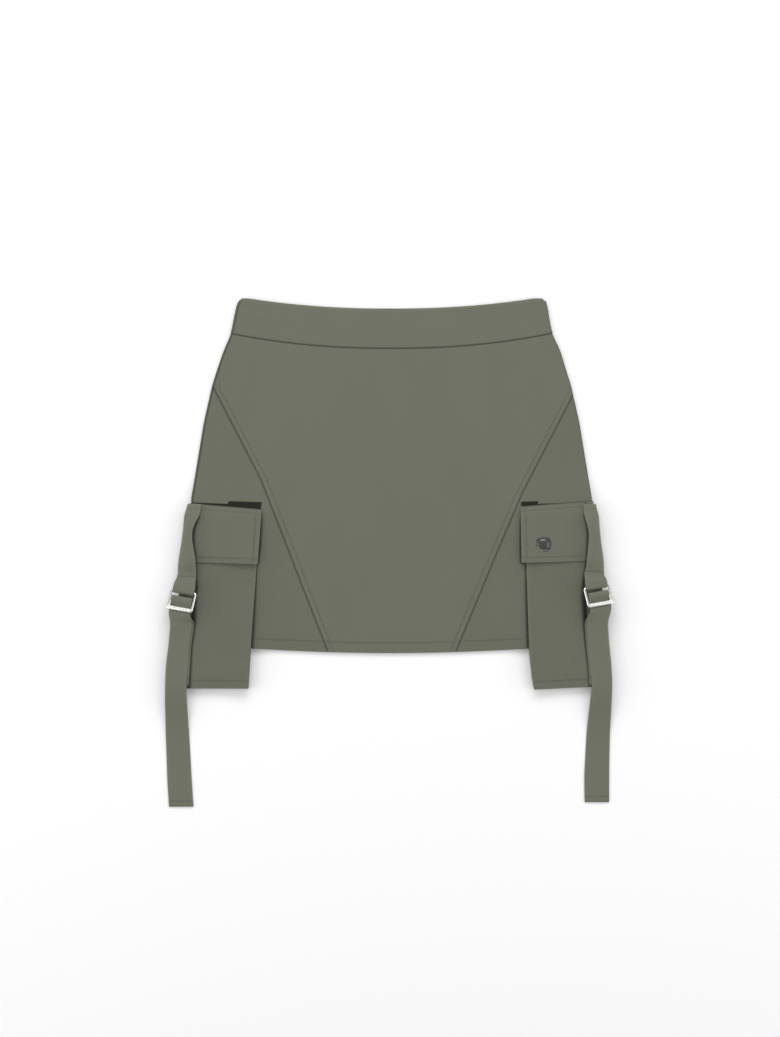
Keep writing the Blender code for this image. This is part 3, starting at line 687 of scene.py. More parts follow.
class Leaf:
    """A piece of cloth in its own flat co-ordinates, and how it lies on the skirt."""

    def __init__(self, low, high, left, right, radius, face, lift=None, sewn="", rows=(), gap=None):
        self.low, self.high, self.left, self.right = low, high, left, right
        self.radius, self.face, self.lift = radius, face, lift
        self.sewn, self.rows, self.gap = sewn, rows, gap

    def edges(self, q, y):
        """Distances from the bottom, top, left and right edges."""
        return {"low": across_edge(y, self.low, q), "high": across_edge(y, self.high, q),
                "left": across_edge(q, self.left, y), "right": across_edge(q, self.right, y)}

    def surface(self, q, y, out=0.0):
        """Points of the leaf, moved out from its middle."""
        radius = self.radius(q, y) if callable(self.radius) else self.radius
        nearest = np.minimum.reduce(list(self.edges(q, y).values()))
        height = -ROLL * np.exp(-nearest / ROLL_REACH) + out
        if self.lift is not None:
            height = height + self.lift(q, y)
        return wrap(q, y, radius, self.face, height)

    def shape(self, u, v):
        q, y = fill(u, v, self.low, self.high, self.left, self.right)
        # The rims are the distance to a sewn edge, where shade is painted, the distance to a free
        # edge, where a highlight is painted, and the share of painted shadow beside a gap.
        distances = self.edges(q, y)
        seam = np.minimum.reduce([distances[k] for k in self.sewn] or [np.full_like(q, FAR)])
        free = [distances[k] for k in distances if k not in self.sewn]
        fold = np.minimum.reduce(free or [np.full_like(q, FAR)])
        rows = [row(q, y) for row in self.rows] + [np.full_like(q, FAR)] * (3 - len(self.rows))
        gap = self.gap(q, y) if self.gap is not None else np.full_like(q, 4.0)
        return (self.surface(q, y), np.stack([q, y], axis=-1), np.stack(rows, axis=-1),
                np.stack([seam, fold, np.clip(gap, 0, 4)], axis=-1))


def leaf_piece(name, leaf, material, wall, span, rise):
    piece = grid_piece(name + "_cloth", stops(span), stops(rise), leaf.shape, material, wall)
    compare(piece, name)
    return piece


print("edge roll", ROLL, "mm")

# %% [markdown]
# ## Front and back
#
# The middle of the front is one large panel between two slanting seams, with a narrow wedge at
# each side. The back is two halves. Front and back meet at the side seams: at the right on the
# fold itself, at the left just inside the outline, where the back wraps round to the front.

# %% Panels of the skirt
FRONT_CREASES = [
    Crease(-172, 204, 46, 8, 78, -0.7), Crease(-158, 206, 52, 10, 80, 0.8),
    Crease(174, 198, 50, 8, 103, -0.7), Crease(160, 196, 56, 11, 101, 0.9),
    Crease(104, 208, 16, 7, 60, -0.35), Crease(96, 214, 22, 9, 55, 0.4),
    Crease(-60, 150, 90, 40, 70, 0.5), Crease(70, 110, 100, 45, 100, 0.5),
    Crease(-10, 30, 120, 50, 85, 0.5), Crease(-128, 30, 60, 9, 84, 0.6),
    Crease(130, 20, 62, 9, 96, 0.6), Crease(-120, -40, 70, 12, 82, 0.7),
    Crease(122, -50, 66, 12, 97, 0.7), Crease(0, -90, 130, 16, 2, 0.5),
]
BACK_CREASES = [
    Crease(-120, 190, 60, 12, 80, 0.4), Crease(118, 186, 60, 12, 100, 0.4),
    Crease(-40, 60, 100, 30, 84, 0.3), Crease(60, 20, 100, 26, 96, 0.3),
]
HEM_DEEP = 11.0
ROW_IN = 6.0                # the row of stitches beside a slanting seam
SLANT_LEAN = 0.92           # cosine of the slanting seams, from straight down


def slant(side, y):
    return half(SLANT, side, y, 2.0)


def centre_bound(side, inset):
    def bound(y):
        limit = fold_at(side, y) - LEFT_SEAM if side == LEFT else fold_at(side, y) + 1.2
        seam = slant(side, y)
        return side * (np.minimum(limit, np.where(y > SLANT_TOP[side], limit, seam)) - inset)
    return bound


def front_lift(q, y):
    return 0.5 + creased(FRONT_CREASES, q, y) * smooth((waist_seam(q) - y) / 12)


def back_lift(q, y):
    return creased(BACK_CREASES, q, y) * -0.5


def hem_row(q, y):
    return y - hem_edge(q) - HEM_DEEP


def slant_row(side):
    def row(q, y):
        return (slant(side, y) - side * q) * SLANT_LEAN - ROW_IN
    return row


# Widths of the painted shadow on the front beside the flaps and pockets.
FRONT_SHADOW_WIDTH = [Pair(60, 0.0, 0.0), Pair(50, 0.2, 0.2), Pair(30, 3.4, 2.2), Pair(10, 3.8, 2.8),
             Pair(-8, 2.6, 2.6), Pair(-14, 1.6, 3.0), Pair(-40, 2.4, 3.6), Pair(-80, 4.0, 4.2),
             Pair(-110, 5.0, 4.6)]


def front_gap_shadow(q, y):
    """Painted shadow on the front beside the inner edge of a flap and of a pocket, as a share of its
    width.
    """
    side = np.sign(q) + (q == 0)
    edge = np.where(y > -12, half(FLAP_EDGE, side, y), half(POCKET_EDGE, side, y))
    width = half(FRONT_SHADOW_WIDTH, side, y)
    return np.where(width > 0.05, (edge - np.abs(q)) / np.maximum(width, 0.05), 4.0)


def below_band(q):
    return waist_seam(q) - GAP / 2


front = Leaf(hem_edge, below_band, centre_bound(LEFT, GAP / 2), centre_bound(RIGHT, GAP / 2),
             SKIRT_R, 1, front_lift, ("high", "left", "right"),
             (hem_row, slant_row(LEFT), slant_row(RIGHT)), front_gap_shadow)
pieces = {"front_centre": leaf_piece("front_centre", front, CLOTH["body"], WALL, 400, 340)}


def side_front(side):
    """The wedge between a slanting seam and the side seam."""
    def seam(y):
        return side * (slant(side, y) + GAP / 2)

    def outer(y):
        last = fold_at(side, y) - LEFT_SEAM if side == LEFT else fold_at(side, y) + 1.2
        return side * np.maximum(last - GAP / 2, slant(side, y) + GAP)

    def top(q):
        return np.full_like(q, SLANT_TOP[side] - 1.0)

    left, right = (outer, seam) if side == LEFT else (seam, outer)
    return Leaf(hem_edge, top, left, right, SKIRT_R, 1, front_lift, ("left", "right", "high"),
                (hem_row,), front_gap_shadow)


def back_half(side):
    def centre_seam(y):
        return np.full_like(y, side * GAP / 2)

    def outer(y):
        reach = math.pi * SKIRT_R + LEFT_SEAM if side == LEFT else 1.2
        return side * (fold_at(side, y) + reach - GAP / 2)

    left, right = (outer, centre_seam) if side == LEFT else (centre_seam, outer)
    return Leaf(hem_edge, below_band, left, right, SKIRT_R, -1, back_lift,
                ("left", "right", "high"), (hem_row,))


leaves = {}
for side, word in ((LEFT, "left"), (RIGHT, "right")):
    leaves["side_" + word] = side_front(side)
    leaves["back_" + word] = back_half(side)
    name = "front_side_" + word
    pieces[name] = leaf_piece(name, leaves["side_" + word], CLOTH["side"], WALL, 150, 285)
    name = "back_" + word
    pieces[name] = leaf_piece(name, leaves["back_" + word], CLOTH["body"], WALL, 230, 340)

# %% [markdown]
# ## Waistband
#
# The band is two layers of twill with the seam turned in at the top, so it is thicker than the
# panels and its upper corners are rounded. A few soft wrinkles lie along it near the ends.

# %% Waistband pieces
BAND_CREASES = [
    Crease(-150, 268, 26, 2.6, -3, -0.45), Crease(-146, 263, 30, 4, -3, 0.35),
    Crease(140, 266, 24, 2.6, 12, -0.5), Crease(150, 261, 20, 3, 24, -0.35),
    Crease(122, 262, 22, 4, 8, 0.4), Crease(-60, 250, 60, 8, 0, 0.25),
    Crease(50, 246, 60, 8, 0, 0.25), Crease(10, 262, 50, 4, 2, -0.2),
]
CORNER = 3.4                # radius of the band's upper corners


def band_top(peek):
    def top(q):
        centre = fold_at(np.sign(q), 278.0)
        inside = np.clip((np.abs(q) - centre + CORNER) / CORNER, 0, 1)
        drop = CORNER * (1 - np.sqrt(1 - 0.96 * inside ** 2))
        return waist_edge(q) + peek * (1 - np.minimum(1.0, np.abs(q) / 157.0)) - drop
    return top


def band_low(q):
    return waist_seam(q) + GAP / 2


def band_front_left(y):
    return -(fold_at(LEFT, y) - LEFT_SEAM) + GAP / 2


def band_front_right(y):
    return fold_at(RIGHT, y) + 1.6


def band_lift(q, y):
    return 0.3 + creased(BAND_CREASES, q, y)


def band_half(side):
    def centre_seam(y):
        return np.full_like(y, side * GAP / 2)

    def outer(y):
        reach = math.pi * BAND_R + LEFT_SEAM if side == LEFT else 1.6
        return side * (fold_at(side, y) + reach - GAP / 2)

    left, right = (outer, centre_seam) if side == LEFT else (centre_seam, outer)
    return Leaf(band_low, band_top(BACK_PEEK), left, right, BAND_R, -1, None,
                ("low", "left", "right"))


band = Leaf(band_low, band_top(0.0), band_front_left, band_front_right, BAND_R, 1, band_lift,
            ("low", "left", "right"))
pieces["waistband_front"] = leaf_piece("waistband_front", band, CLOTH["body"], BAND_WALL, 350, 43)
for side, word in ((LEFT, "left"), (RIGHT, "right")):
    name = "waistband_back_" + word
    pieces[name] = leaf_piece(name, band_half(side), CLOTH["body"], BAND_WALL, 180, 43)

# %% [markdown]
# ## Cargo pockets
#
# Each pocket is a bag of two leaves, folded round the side of the skirt like a book round its
# spine. It hangs below the hem. Its inner edge stands off the skirt a little, and long soft
# ripples run down it.

# %% Pocket bags
POCKET_LIFT = {LEFT: 3.0, RIGHT: 2.0}
LIFT_BAND = 35.0
LIFT_TOP, LIFT_FULL = -12.0, -65.0
POCKET_CREASES = {
    LEFT: [Crease(-196, -70, 60, 7, 88, -0.35), Crease(-184, -66, 60, 9, 90, 0.7),
           Crease(-212, -80, 50, 8, 92, 0.6), Crease(-166, -124, 22, 6, 20, 0.6),
           Crease(-160, -118, 20, 4, 24, -0.3), Crease(-200, -132, 40, 5, 4, 0.4)],
    RIGHT: [Crease(176, -60, 60, 8, 93, 0.6), Crease(190, -70, 60, 7, 90, -0.35),
            Crease(202, -76, 54, 9, 88, 0.7), Crease(178, -128, 36, 6, -8, 0.5),
            Crease(206, -130, 24, 5, 14, 0.4)],
}
Foot = namedtuple("Foot", "inner_x inner_y rise width")
POCKET_FOOT = {LEFT: Foot(156.6, -147.5, 0.0, 80.0), RIGHT: Foot(158.0, -148.6, 2.8, 60.0)}
POCKET_HEM = 8.0

# Width of the painted shadow on a pocket and a flap beside the strap and its slide.
STRAP_SHADOW_WIDTH = [Pair(60, 0.0, 0.0), Pair(50, 0.3, 0.3), Pair(40, 2.2, 1.8), Pair(26, 4.2, 3.0),
             Pair(6, 3.4, 3.0), Pair(-10, 2.6, 2.2), Pair(-24, 1.8, 2.2), Pair(-36, 2.6, 4.0),
             Pair(-50, 3.2, 5.0), Pair(-64, 4.0, 4.4), Pair(-80, 3.6, 3.6), Pair(-110, 3.0, 2.8),
             Pair(-140, 4.2, 2.6), Pair(-150, 4.6, 2.4)]
# Inner edge of whatever lies on the flap and the pocket: upper strap, slide, then lower strap.
STRAP_EDGE = [Pair(54.5, 208.7, 211.4), Pair(49, 208.6, 211.3), Pair(42, 209.8, 211.6),
              Pair(34, 214.0, 213.8), Pair(26, 216.9, 215.8), Pair(18, 217.4, 216.2),
              Pair(6, 216.0, 215.4), Pair(-3, 214.4, 214.5), Pair(-24, 213.6, 212.0),
              Pair(-36, 213.0, 211.0), Pair(-60, 216.0, 212.0), Pair(-76, 216.2, 212.5),
              Pair(-99, 218.9, 214), Pair(-120, 220.6, 216.5), Pair(-150, 222.4, 218.5)]


# Painted shadow beside whatever lies on the flap and the pocket, as a share of its width.
def strap_gap_shadow(q, y):
    side = np.sign(q) + (q == 0)
    width = half(STRAP_SHADOW_WIDTH, side, y, 2.0)
    distance = half(STRAP_EDGE, side, y, 2.0) - np.abs(q)
    return np.where((width > 0.05) & (distance > -3), distance / np.maximum(width, 0.05), 4.0)


def pocket_low(side):
    foot = POCKET_FOOT[side]

    def low(q):
        front = np.minimum(np.abs(q), 2 * fold_at(side, -148.0) - np.abs(q))
        past = np.maximum(front, foot.inner_x) - foot.inner_x
        return foot.inner_y + foot.rise * past / foot.width
    return low


def pocket_leaf(side, radius, rows):
    low = pocket_low(side)

    def top(q):
        return np.full_like(q, MOUTH)

    def inner(y):
        return side * half(POCKET_EDGE, side, y, 3.0)

    def behind(y):
        return side * (2 * fold_at(side, y) + math.pi * radius - half(POCKET_EDGE, side, y, 3.0))

    def lift(q, y):
        rise = POCKET_LIFT[side] * smooth((LIFT_TOP - y) / (LIFT_TOP - LIFT_FULL))
        beside = smooth(1 - (np.abs(q) - half(POCKET_EDGE, side, y)) / LIFT_BAND)
        front = np.abs(q) < fold_at(side, y)
        return np.where(front, rise * beside + creased(POCKET_CREASES[side], q, y), 0.0)

    def hem(q, y):
        return y - low(q) - POCKET_HEM

    left, right = (behind, inner) if side == LEFT else (inner, behind)
    return Leaf(low, top, left, right, radius, 1, lift, (), (hem,) if rows else (), strap_gap_shadow)


for side, word in ((LEFT, "left"), (RIGHT, "right")):
    for layer, radius in (("inner", INNER_R), ("outer", OUTER_R)):
        name = "pocket_%s_%s" % (layer, word)
        leaves[name] = pocket_leaf(side, radius, layer == "outer")
        pieces[name] = leaf_piece(name, leaves[name], CLOTH["pocket"], WALL, 180, 185)

# %% [markdown]
# ## Pocket flaps
#
# A flap is two layers, stitched all round and sewn to the skirt along its top. It is held down
# there, rises over the thick pocket and stands off it at its lower inner corner.

# %% Flaps
FLAP_LIFT = {LEFT: 3.4, RIGHT: 2.8}
FLAP_ROW = 5.4
FLAP_CREASES = {
    LEFT: [Crease(-178, 20, 40, 14, 86, 0.5), Crease(-208, 30, 26, 5, 80, 0.4)],
    RIGHT: [Crease(186, 22, 36, 12, 92, 0.5), Crease(205, 34, 24, 5, 98, 0.4)],
}


def flap_edges(side):
    limits = FLAP_LIMITS[side]

    def between(q, inner, outer):
        front = np.minimum(np.abs(q), 2 * (fold_at(side, 20.0) + 8.0) - np.abs(q))
        share = (front - FLAP_INNER) / (FLAP_OUTER - FLAP_INNER)
        return inner + (outer - inner) * np.clip(share, 0, 1)

    def low(q):
        return between(q, limits.low_in, limits.low_out)

    def high(q):
        return between(q, limits.top_in, limits.top_out)
    return low, high


def flap_leaf(side):
    low, high = flap_edges(side)

    def radius(q, y):
        share = (high(q) - y) / (high(q) - FLAP_CLEAR)
        return FLAP_TOP_R + (FLAP_R - FLAP_TOP_R) * smooth(share)

    def inner(y):
        return side * half(FLAP_EDGE, side, y, 3.0)

    def behind(y):
        front_way = 2 * fold_at(side, y) - half(FLAP_EDGE, side, y, 3.0)
        turn = math.pi * radius(side * (front_way + math.pi * FLAP_R), y)
        return side * (front_way + turn)

    def lift(q, y):
        down = smooth((FLAP_CLEAR - y) / 55)
        beside = smooth(1 - (np.abs(q) - half(FLAP_EDGE, side, y)) / 62)
        front = np.abs(q) < fold_at(side, y)
        rise = FLAP_LIFT[side] * down * beside + creased(FLAP_CREASES[side], q, y)
        return np.where(front, rise, 0.0)

    def low_row(q, y):
        return y - low(q) - FLAP_ROW

    def high_row(q, y):
        return high(q) - y - FLAP_ROW

    def inner_row(q, y):
        return np.abs(q) - half(FLAP_EDGE, side, y, 3.0) - FLAP_ROW

    left, right = (behind, inner) if side == LEFT else (inner, behind)
    return Leaf(low, high, left, right, radius, 1, lift, ("high",),
                (low_row, high_row, inner_row), strap_gap_shadow)


for side, word in ((LEFT, "left"), (RIGHT, "right")):
    leaves["flap_" + word] = flap_leaf(side)
    pieces["flap_" + word] = leaf_piece("flap_" + word, leaves["flap_" + word], CLOTH["flap"],
                                        FLAP_WALL, 172, 64)

# %% [markdown]
# ## Straps
#
# The upper strap is sewn under the flap's top seam, turns round the side of the skirt and loops
# through the top of the slide. The lower strap is sewn at the foot of the pocket, runs up behind
# the slide, turns over its hidden bar and hangs down as a free end. Both are worked out as a few
# cross rows, and a smooth curve is led through them.

# %% Slide directions
SLIDE_WIRE, SLIDE_BEAD, SLIDE_BAR = 1.25, 1.15, 1.0
SLIDE_HALF, SLIDE_TOP, SLIDE_LOW = 14.0, 9.75, -11.1
RAIL_LOW, RAIL_SIDE, RAIL_START, RAIL_CLEAR, RAIL_CORNER = -8.9, -12.4, 5.25, 1.75, 1.6
BAR_UP = 1.3
SLIDE_CORNER = 1.8
SLIDE_MIDDLE = {LEFT: Vector((-229.0, -50.4, 16.0)), RIGHT: Vector((226.9, -44.8, 16.0))}
BAR_DIRECTION = Vector((27.3, -4.6, 6.0))
SIDE_DIRECTION = Vector((4.5, 18.8, -5.0))
ACROSS = 13                 # points across a strap
SEAM = 0.3
LOOP_R = SLIDE_WIRE + SEAM + 0.7
FOLD_R = SLIDE_BAR + SEAM + 0.7


def slide_axes(side):
    """Directions along a slide's bars, up its sides and out of its face."""
    mirror = Vector((-side, 1, 1))
    bars = (BAR_DIRECTION * mirror).normalized()
    up = SIDE_DIRECTION * mirror
    up = (up - bars * up.dot(bars)).normalized()
    out = bars.cross(up)
    return bars, up, out * (1 if out.z > 0 else -1)


def slide_point(side, u, v, w):
    bars, up, out = slide_axes(side)
    return SLIDE_MIDDLE[side] + bars * u + up * v + out * w


def slide_row(side, v, w, width):
    """A strap's row across the slide, from its inner edge to its outer edge."""
    shares = np.linspace(0.5, -0.5, ACROSS)
    return np.array([slide_point(side, width * share, v, w) for share in shares])


for side, word in ((LEFT, "left"), (RIGHT, "right")):
    low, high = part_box("slide_" + word)
    middle = (low + high) / 2
    print("slide", word, "middle in the frame", [round(c, 4) for c in middle],
          "and here", [round(float(c), 4) for c in place(SLIDE_MIDDLE[side])])

# %% Rows of the upper strap
Wrap = namedtuple("Wrap", "y left right bow")
UPPER_STRAP = [
    Wrap(54.5, 208.7, 211.4, 0.2), Wrap(49, 208.6, 211.3, 0.3), Wrap(42, 209.8, 211.6, 0.4),
    Wrap(34, 214.0, 213.8, 0.6), Wrap(26, 216.9, 215.8, 0.7), Wrap(18, 217.4, 216.2, 0.8),
    Wrap(6, 216.0, 215.4, 0.8), Wrap(-3, 214.4, 214.5, 0.8), Wrap(-12, 213.5, 213.7, 0.6),
    Wrap(-24, 213.6, 212.0, 0.2),
]
LOOP_WIDTH = 24.0
LOOP_RISE, LOOP_OUT = 5.0, LOOP_R + 1.6
LOOP_SHARES = (0.4, 0.8)
TURNS = (45, 90, 135)


def wrap_row(side, y):
    """A row of the upper strap, laid on the flap and turned round the side fold."""
    inner = float(half(UPPER_STRAP, side, y))
    centre = float(fold_at(side, y))
    top = FLAP_LIMITS[side].top_out
    radius = float(np.interp(y, [FLAP_CLEAR, top], [FLAP_R, FLAP_TOP_R]))
    radius += STRAP_STEP + float(read(UPPER_STRAP, "bow", y))
    run = inner + STRAP_WIDTH * np.linspace(0, 1, ACROSS)
    over = run - centre
    turn = np.clip(over / radius, 0, math.pi)
    past = np.maximum(over - math.pi * radius, 0)
    x = side * (np.minimum(run, centre) - past + radius * np.sin(turn))
    z = float(core(side * centre, y)) + radius * np.cos(turn)
    return np.stack([x, np.full_like(x, y), z], axis=-1)


def drop_row(side, row, before, after, distance):
    """A row moved down along the cloth's own normal."""
    along = after - before
    across = np.gradient(row, axis=0)
    normal = np.cross(along, across)
    normal *= side / np.linalg.norm(normal, axis=1)[:, None]
    return row - normal * distance


def upper_strap_rows(side):
    rows = [wrap_row(side, row.y) for row in UPPER_STRAP]
    last = rows[-1]
    at_bar = slide_row(side, SLIDE_TOP, LOOP_R, LOOP_WIDTH)
    above = slide_row(side, SLIDE_TOP + LOOP_RISE, LOOP_OUT, LOOP_WIDTH)
    low, near = [last + (above - last) * share for share in LOOP_SHARES]
    rows += [low, near, at_bar]
    for turn in TURNS:
        angle = math.radians(turn)
        rows.append(slide_row(side, SLIDE_TOP - LOOP_R * math.sin(angle),
                              LOOP_R * math.cos(angle), LOOP_WIDTH))
    rows.append(slide_row(side, SLIDE_TOP, -LOOP_R, LOOP_WIDTH))
    rows.append(drop_row(side, near, low, at_bar, LOOP_R))
    rows.append(drop_row(side, low, last, near, STRAP_WALL + 0.6))
    return np.array(rows)


print("upper strap rows:", upper_strap_rows(LEFT).shape)

# %% Rows of the lower strap
Tail = namedtuple("Tail", "y inner_left outer_left inner_right outer_right z")
TAIL = [
    Tail(-76, 218.2, 241.4, 214.5, 237.2, 14.2), Tail(-88, 219.4, 242.3, 215.2, 238, 12.4),
    Tail(-99, 220.9, 243.4, 216, 238.8, 11.4), Tail(-120, 222.6, 246, 218.5, 241, 11.3),
    Tail(-147, 224.4, 247.2, 220, 242, 11.3), Tail(-160, 224.1, 247.5, 218.7, 241.7, 9.0),
    Tail(-178, 223.4, 247.5, 217.2, 241.2, 4.2), Tail(-196, 222.4, 247.3, 215.6, 240.5, 1.3),
    Tail(-220, 221, 246.6, 214.2, 240, 0.7), Tail(-250, 219.4, 245.6, 212.9, 239.7, 0.7),
    Tail(-278, 217.5, 243.9, 213.2, 239.7, 0.7),
]
TAIL_SHORTER, TAIL_EASE = 5.0, -150.0
LEG_SHIFT, LEG_DROP = 2.0, 1.8
LEG_ROWS = [-76, -88, -99, -120, -144]
WINDOW_STRAP = 23.3
Step = namedtuple("Step", "up out")
BEHIND_SLIDE = [Step(-13.5, -4.1), Step(-8, -4.0), Step(-3, -3.1), Step(BAR_UP, -FOLD_R)]
OVER_SLIDE = [Step(BAR_UP, FOLD_R), Step(-2.5, 0.4), Step(-6, -1.9), Step(-8.5, -2.2),
              Step(-13.5, -2.2)]


def straight_row(side, inner, outer, y, z):
    x = side * np.linspace(inner, outer, ACROSS)
    return np.stack([x, np.full_like(x, y), np.full_like(x, z)], axis=-1)


def lower_strap_rows(side):
    word = "left" if side == LEFT else "right"
    rows = []
    for y in reversed(LEG_ROWS):
        inner = float(read(TAIL, "inner_" + word, y)) - LEG_SHIFT
        outer = float(read(TAIL, "outer_" + word, y)) - LEG_SHIFT
        rows.append(straight_row(side, inner, outer, y, float(read(TAIL, "z", y)) - LEG_DROP))
    rows += [slide_row(side, step.up, step.out, WINDOW_STRAP) for step in BEHIND_SLIDE]
    for turn in TURNS:
        angle = math.radians(turn)
        rows.append(slide_row(side, BAR_UP + FOLD_R * math.sin(angle),
                              -FOLD_R * math.cos(angle), WINDOW_STRAP))
    rows += [slide_row(side, step.up, step.out, WINDOW_STRAP) for step in OVER_SLIDE]
    shorter = TAIL_SHORTER if side == RIGHT else 0.0
    for row in TAIL:
        share = max(0.0, (row.y - TAIL_EASE) / (TAIL[-1].y - TAIL_EASE))
        rows.append(straight_row(side, getattr(row, "inner_" + word),
                                 getattr(row, "outer_" + word), row.y + shorter * share, row.z))
    return np.array(rows)


print("lower strap rows:", lower_strap_rows(LEFT).shape)

# %% Straps from their rows
ALONG_STEP = 2.2            # longest stretch between rows of the finished strap


def through_rows(rows, shares):
    """Points on a smooth curve led through the rows, at the given runs along them."""
    middle = rows[:, ACROSS // 2]
    runs = np.concatenate([[0], np.cumsum(np.linalg.norm(np.diff(middle, axis=0), axis=1))])
    gaps = np.diff(runs)
    slopes = np.diff(rows, axis=0) / gaps[:, None, None]
    tangents = np.empty_like(rows)
    before, after = gaps[:-1, None, None], gaps[1:, None, None]
    tangents[1:-1] = (slopes[:-1] * after + slopes[1:] * before) / (before + after)
    tangents[0], tangents[-1] = slopes[0], slopes[-1]
    run = shares * runs[-1]
    place_in = np.clip(np.searchsorted(runs, run, side="right") - 1, 0, len(gaps) - 1)
    gap = gaps[place_in][:, None, None]
    t = ((run - runs[place_in]) / gaps[place_in])[:, None, None]
    start, end = rows[place_in], rows[place_in + 1]
    leave, arrive = tangents[place_in] * gap, tangents[place_in + 1] * gap
    return (start * (2 * t ** 3 - 3 * t ** 2 + 1) + leave * (t ** 3 - 2 * t ** 2 + t)
            + end * (3 * t ** 2 - 2 * t ** 3) + arrive * (t ** 3 - t ** 2)), runs


def strap_stops(runs):
    """Shares of the strap's length, with every given row kept and long stretches divided."""
    every = []
    for start, end in zip(runs, runs[1:]):
        parts = max(3, int((end - start) / ALONG_STEP))
        every += [start + (end - start) * k / parts for k in range(parts)]
    return np.array(every + [runs[-1]]) / runs[-1]


class Strap:
    """A strap led through its rows, with stitches and a soft bow across its width."""

    def __init__(self, rows, width, tacks, lift):
        self.rows, self.width, self.tacks, self.lift = rows, width, tacks, lift
        _, self.runs = through_rows(rows, np.array([0.0]))
        self.length = float(self.runs[-1])

    def surface(self, across, run, out=0.0):
        """Points at distances across and along the strap, moved out from its middle."""
        across, run = np.broadcast_arrays(np.asarray(across, float), np.asarray(run, float))
        rows, _ = through_rows(self.rows, np.clip(run / self.length, 0, 1))
        near, _ = through_rows(self.rows, np.clip((run + 0.4) / self.length, 0, 1))
        back, _ = through_rows(self.rows, np.clip((run - 0.4) / self.length, 0, 1))
        column = across / self.width * (ACROSS - 1)
        low = np.clip(column.astype(int), 0, ACROSS - 2)
        part = (column - low)[:, None]
        pick = np.arange(len(run))
        point = rows[pick, low] * (1 - part) + rows[pick, low + 1] * part
        along = near[pick, low] - back[pick, low]
        sideways = rows[pick, low + 1] - rows[pick, low]
        normal = np.cross(along, sideways)
        normal /= np.linalg.norm(normal, axis=1)[:, None]
        edge = np.minimum(across, self.width - across)
        rise = out - ROLL * np.exp(-edge / ROLL_REACH) + self.lift(across, run)
        return point, normal, rise

    def shape_on(self, side):
        def shape(u, v):
            across, run = u * self.width, v * self.length
            point, normal, rise = self.surface(across, run)
            points = point + normal * side * rise[:, None]
            edge = np.minimum(across, self.width - across)
            ends = np.minimum(run, self.length - run)
            tacks = [run - tack for tack in self.tacks][:3]
            tacks += [np.full_like(run, FAR)] * (3 - len(tacks))
            # A strap's rims give only a painted highlight along its edges and ends: no painted seam
            # shade and no painted shadow.
            rims = np.stack([np.full_like(run, FAR), np.minimum(edge, ends),
                             np.full_like(run, 4.0)], axis=-1)
            return points, np.stack([across, run], axis=-1), np.stack(tacks, axis=-1), rims
        return shape


def strap_piece(name, side, strap):
    piece = grid_piece(name + "_cloth", stops(strap.width, 2.4), strap_stops(strap.runs),
                       strap.shape_on(side), CLOTH["strap"], STRAP_WALL)
    compare(piece, name)
    return piece


UPPER_TACK = 16.0           # the stitches that close the loop are this far above the slide
END_TACK = 6.0
LOOP_LEAD = 12              # rows of the upper strap before its loop
TOP_TACK, FOOT_TACK = 6.0, 8.0
EDGE_LIFT, LIFT_WIDTH = 3.0, 16.0   # how far the inner edge stands off, and how wide that is
LIFT_START, LIFT_RISE, LIFT_END, LIFT_FALL = 4.0, 20.0, 16.0, 24.0
RIPPLE, RIPPLE_RUN = 0.25, 9.0
SLACK, SLACK_RUN, SLACK_TILT = 0.35, 17.0, 0.03
SLACK_LENGTH, SLACK_RISE, SLACK_END, SLACK_FALL = 190.0, 30.0, 12.0, 60.0
straps = {}
for side, word in ((LEFT, "left"), (RIGHT, "right")):
    rows = upper_strap_rows(side)
    _, runs = through_rows(rows, np.array([0.0]))
    at_bar = float(runs[LOOP_LEAD])

    def inner_lift(across, run, at_bar=at_bar):
        """The strap's inner edge stands off the flap between its sewn top and the slide."""
        free = smooth((run - LIFT_START) / LIFT_RISE)
        free = free * smooth((at_bar - LIFT_END - run) / LIFT_FALL)
        lifted = EDGE_LIFT * free * smooth(1 - across / LIFT_WIDTH)
        return lifted + RIPPLE * free * np.sin(run / RIPPLE_RUN)

    straps["upper_" + word] = Strap(rows, STRAP_WIDTH, (at_bar - UPPER_TACK, TOP_TACK), inner_lift)
    name = "upper_strap_" + word
    pieces[name] = strap_piece(name, side, straps["upper_" + word])

    rows = lower_strap_rows(side)
    _, runs = through_rows(rows, np.array([0.0]))
    end = float(runs[-1])

    def tail_lift(across, run, end=end):
        """A slack free end: slow bends that fade out where it lies flat."""
        free = smooth((run - (end - SLACK_LENGTH)) / SLACK_RISE)
        free = free * smooth((end - SLACK_END - run) / SLACK_FALL)
        return free * (SLACK * np.sin(run / SLACK_RUN) + SLACK_TILT * (across - 12))

    straps["lower_" + word] = Strap(rows, WINDOW_STRAP + 1.0, (end - END_TACK, FOOT_TACK), tail_lift)
    name = "lower_strap_" + word
    pieces[name] = strap_piece(name, side, straps["lower_" + word])

# %% [markdown]
# ## Slides
#
# A slide is cast with a round frame, an inner rail that doubles its lower bar and outer side,
# and a bar that the strap hides. Each is a round tube led along its path, and a Boolean union
# joins the three.

# %% Tubes along a path
TUBE_SIDES = 16


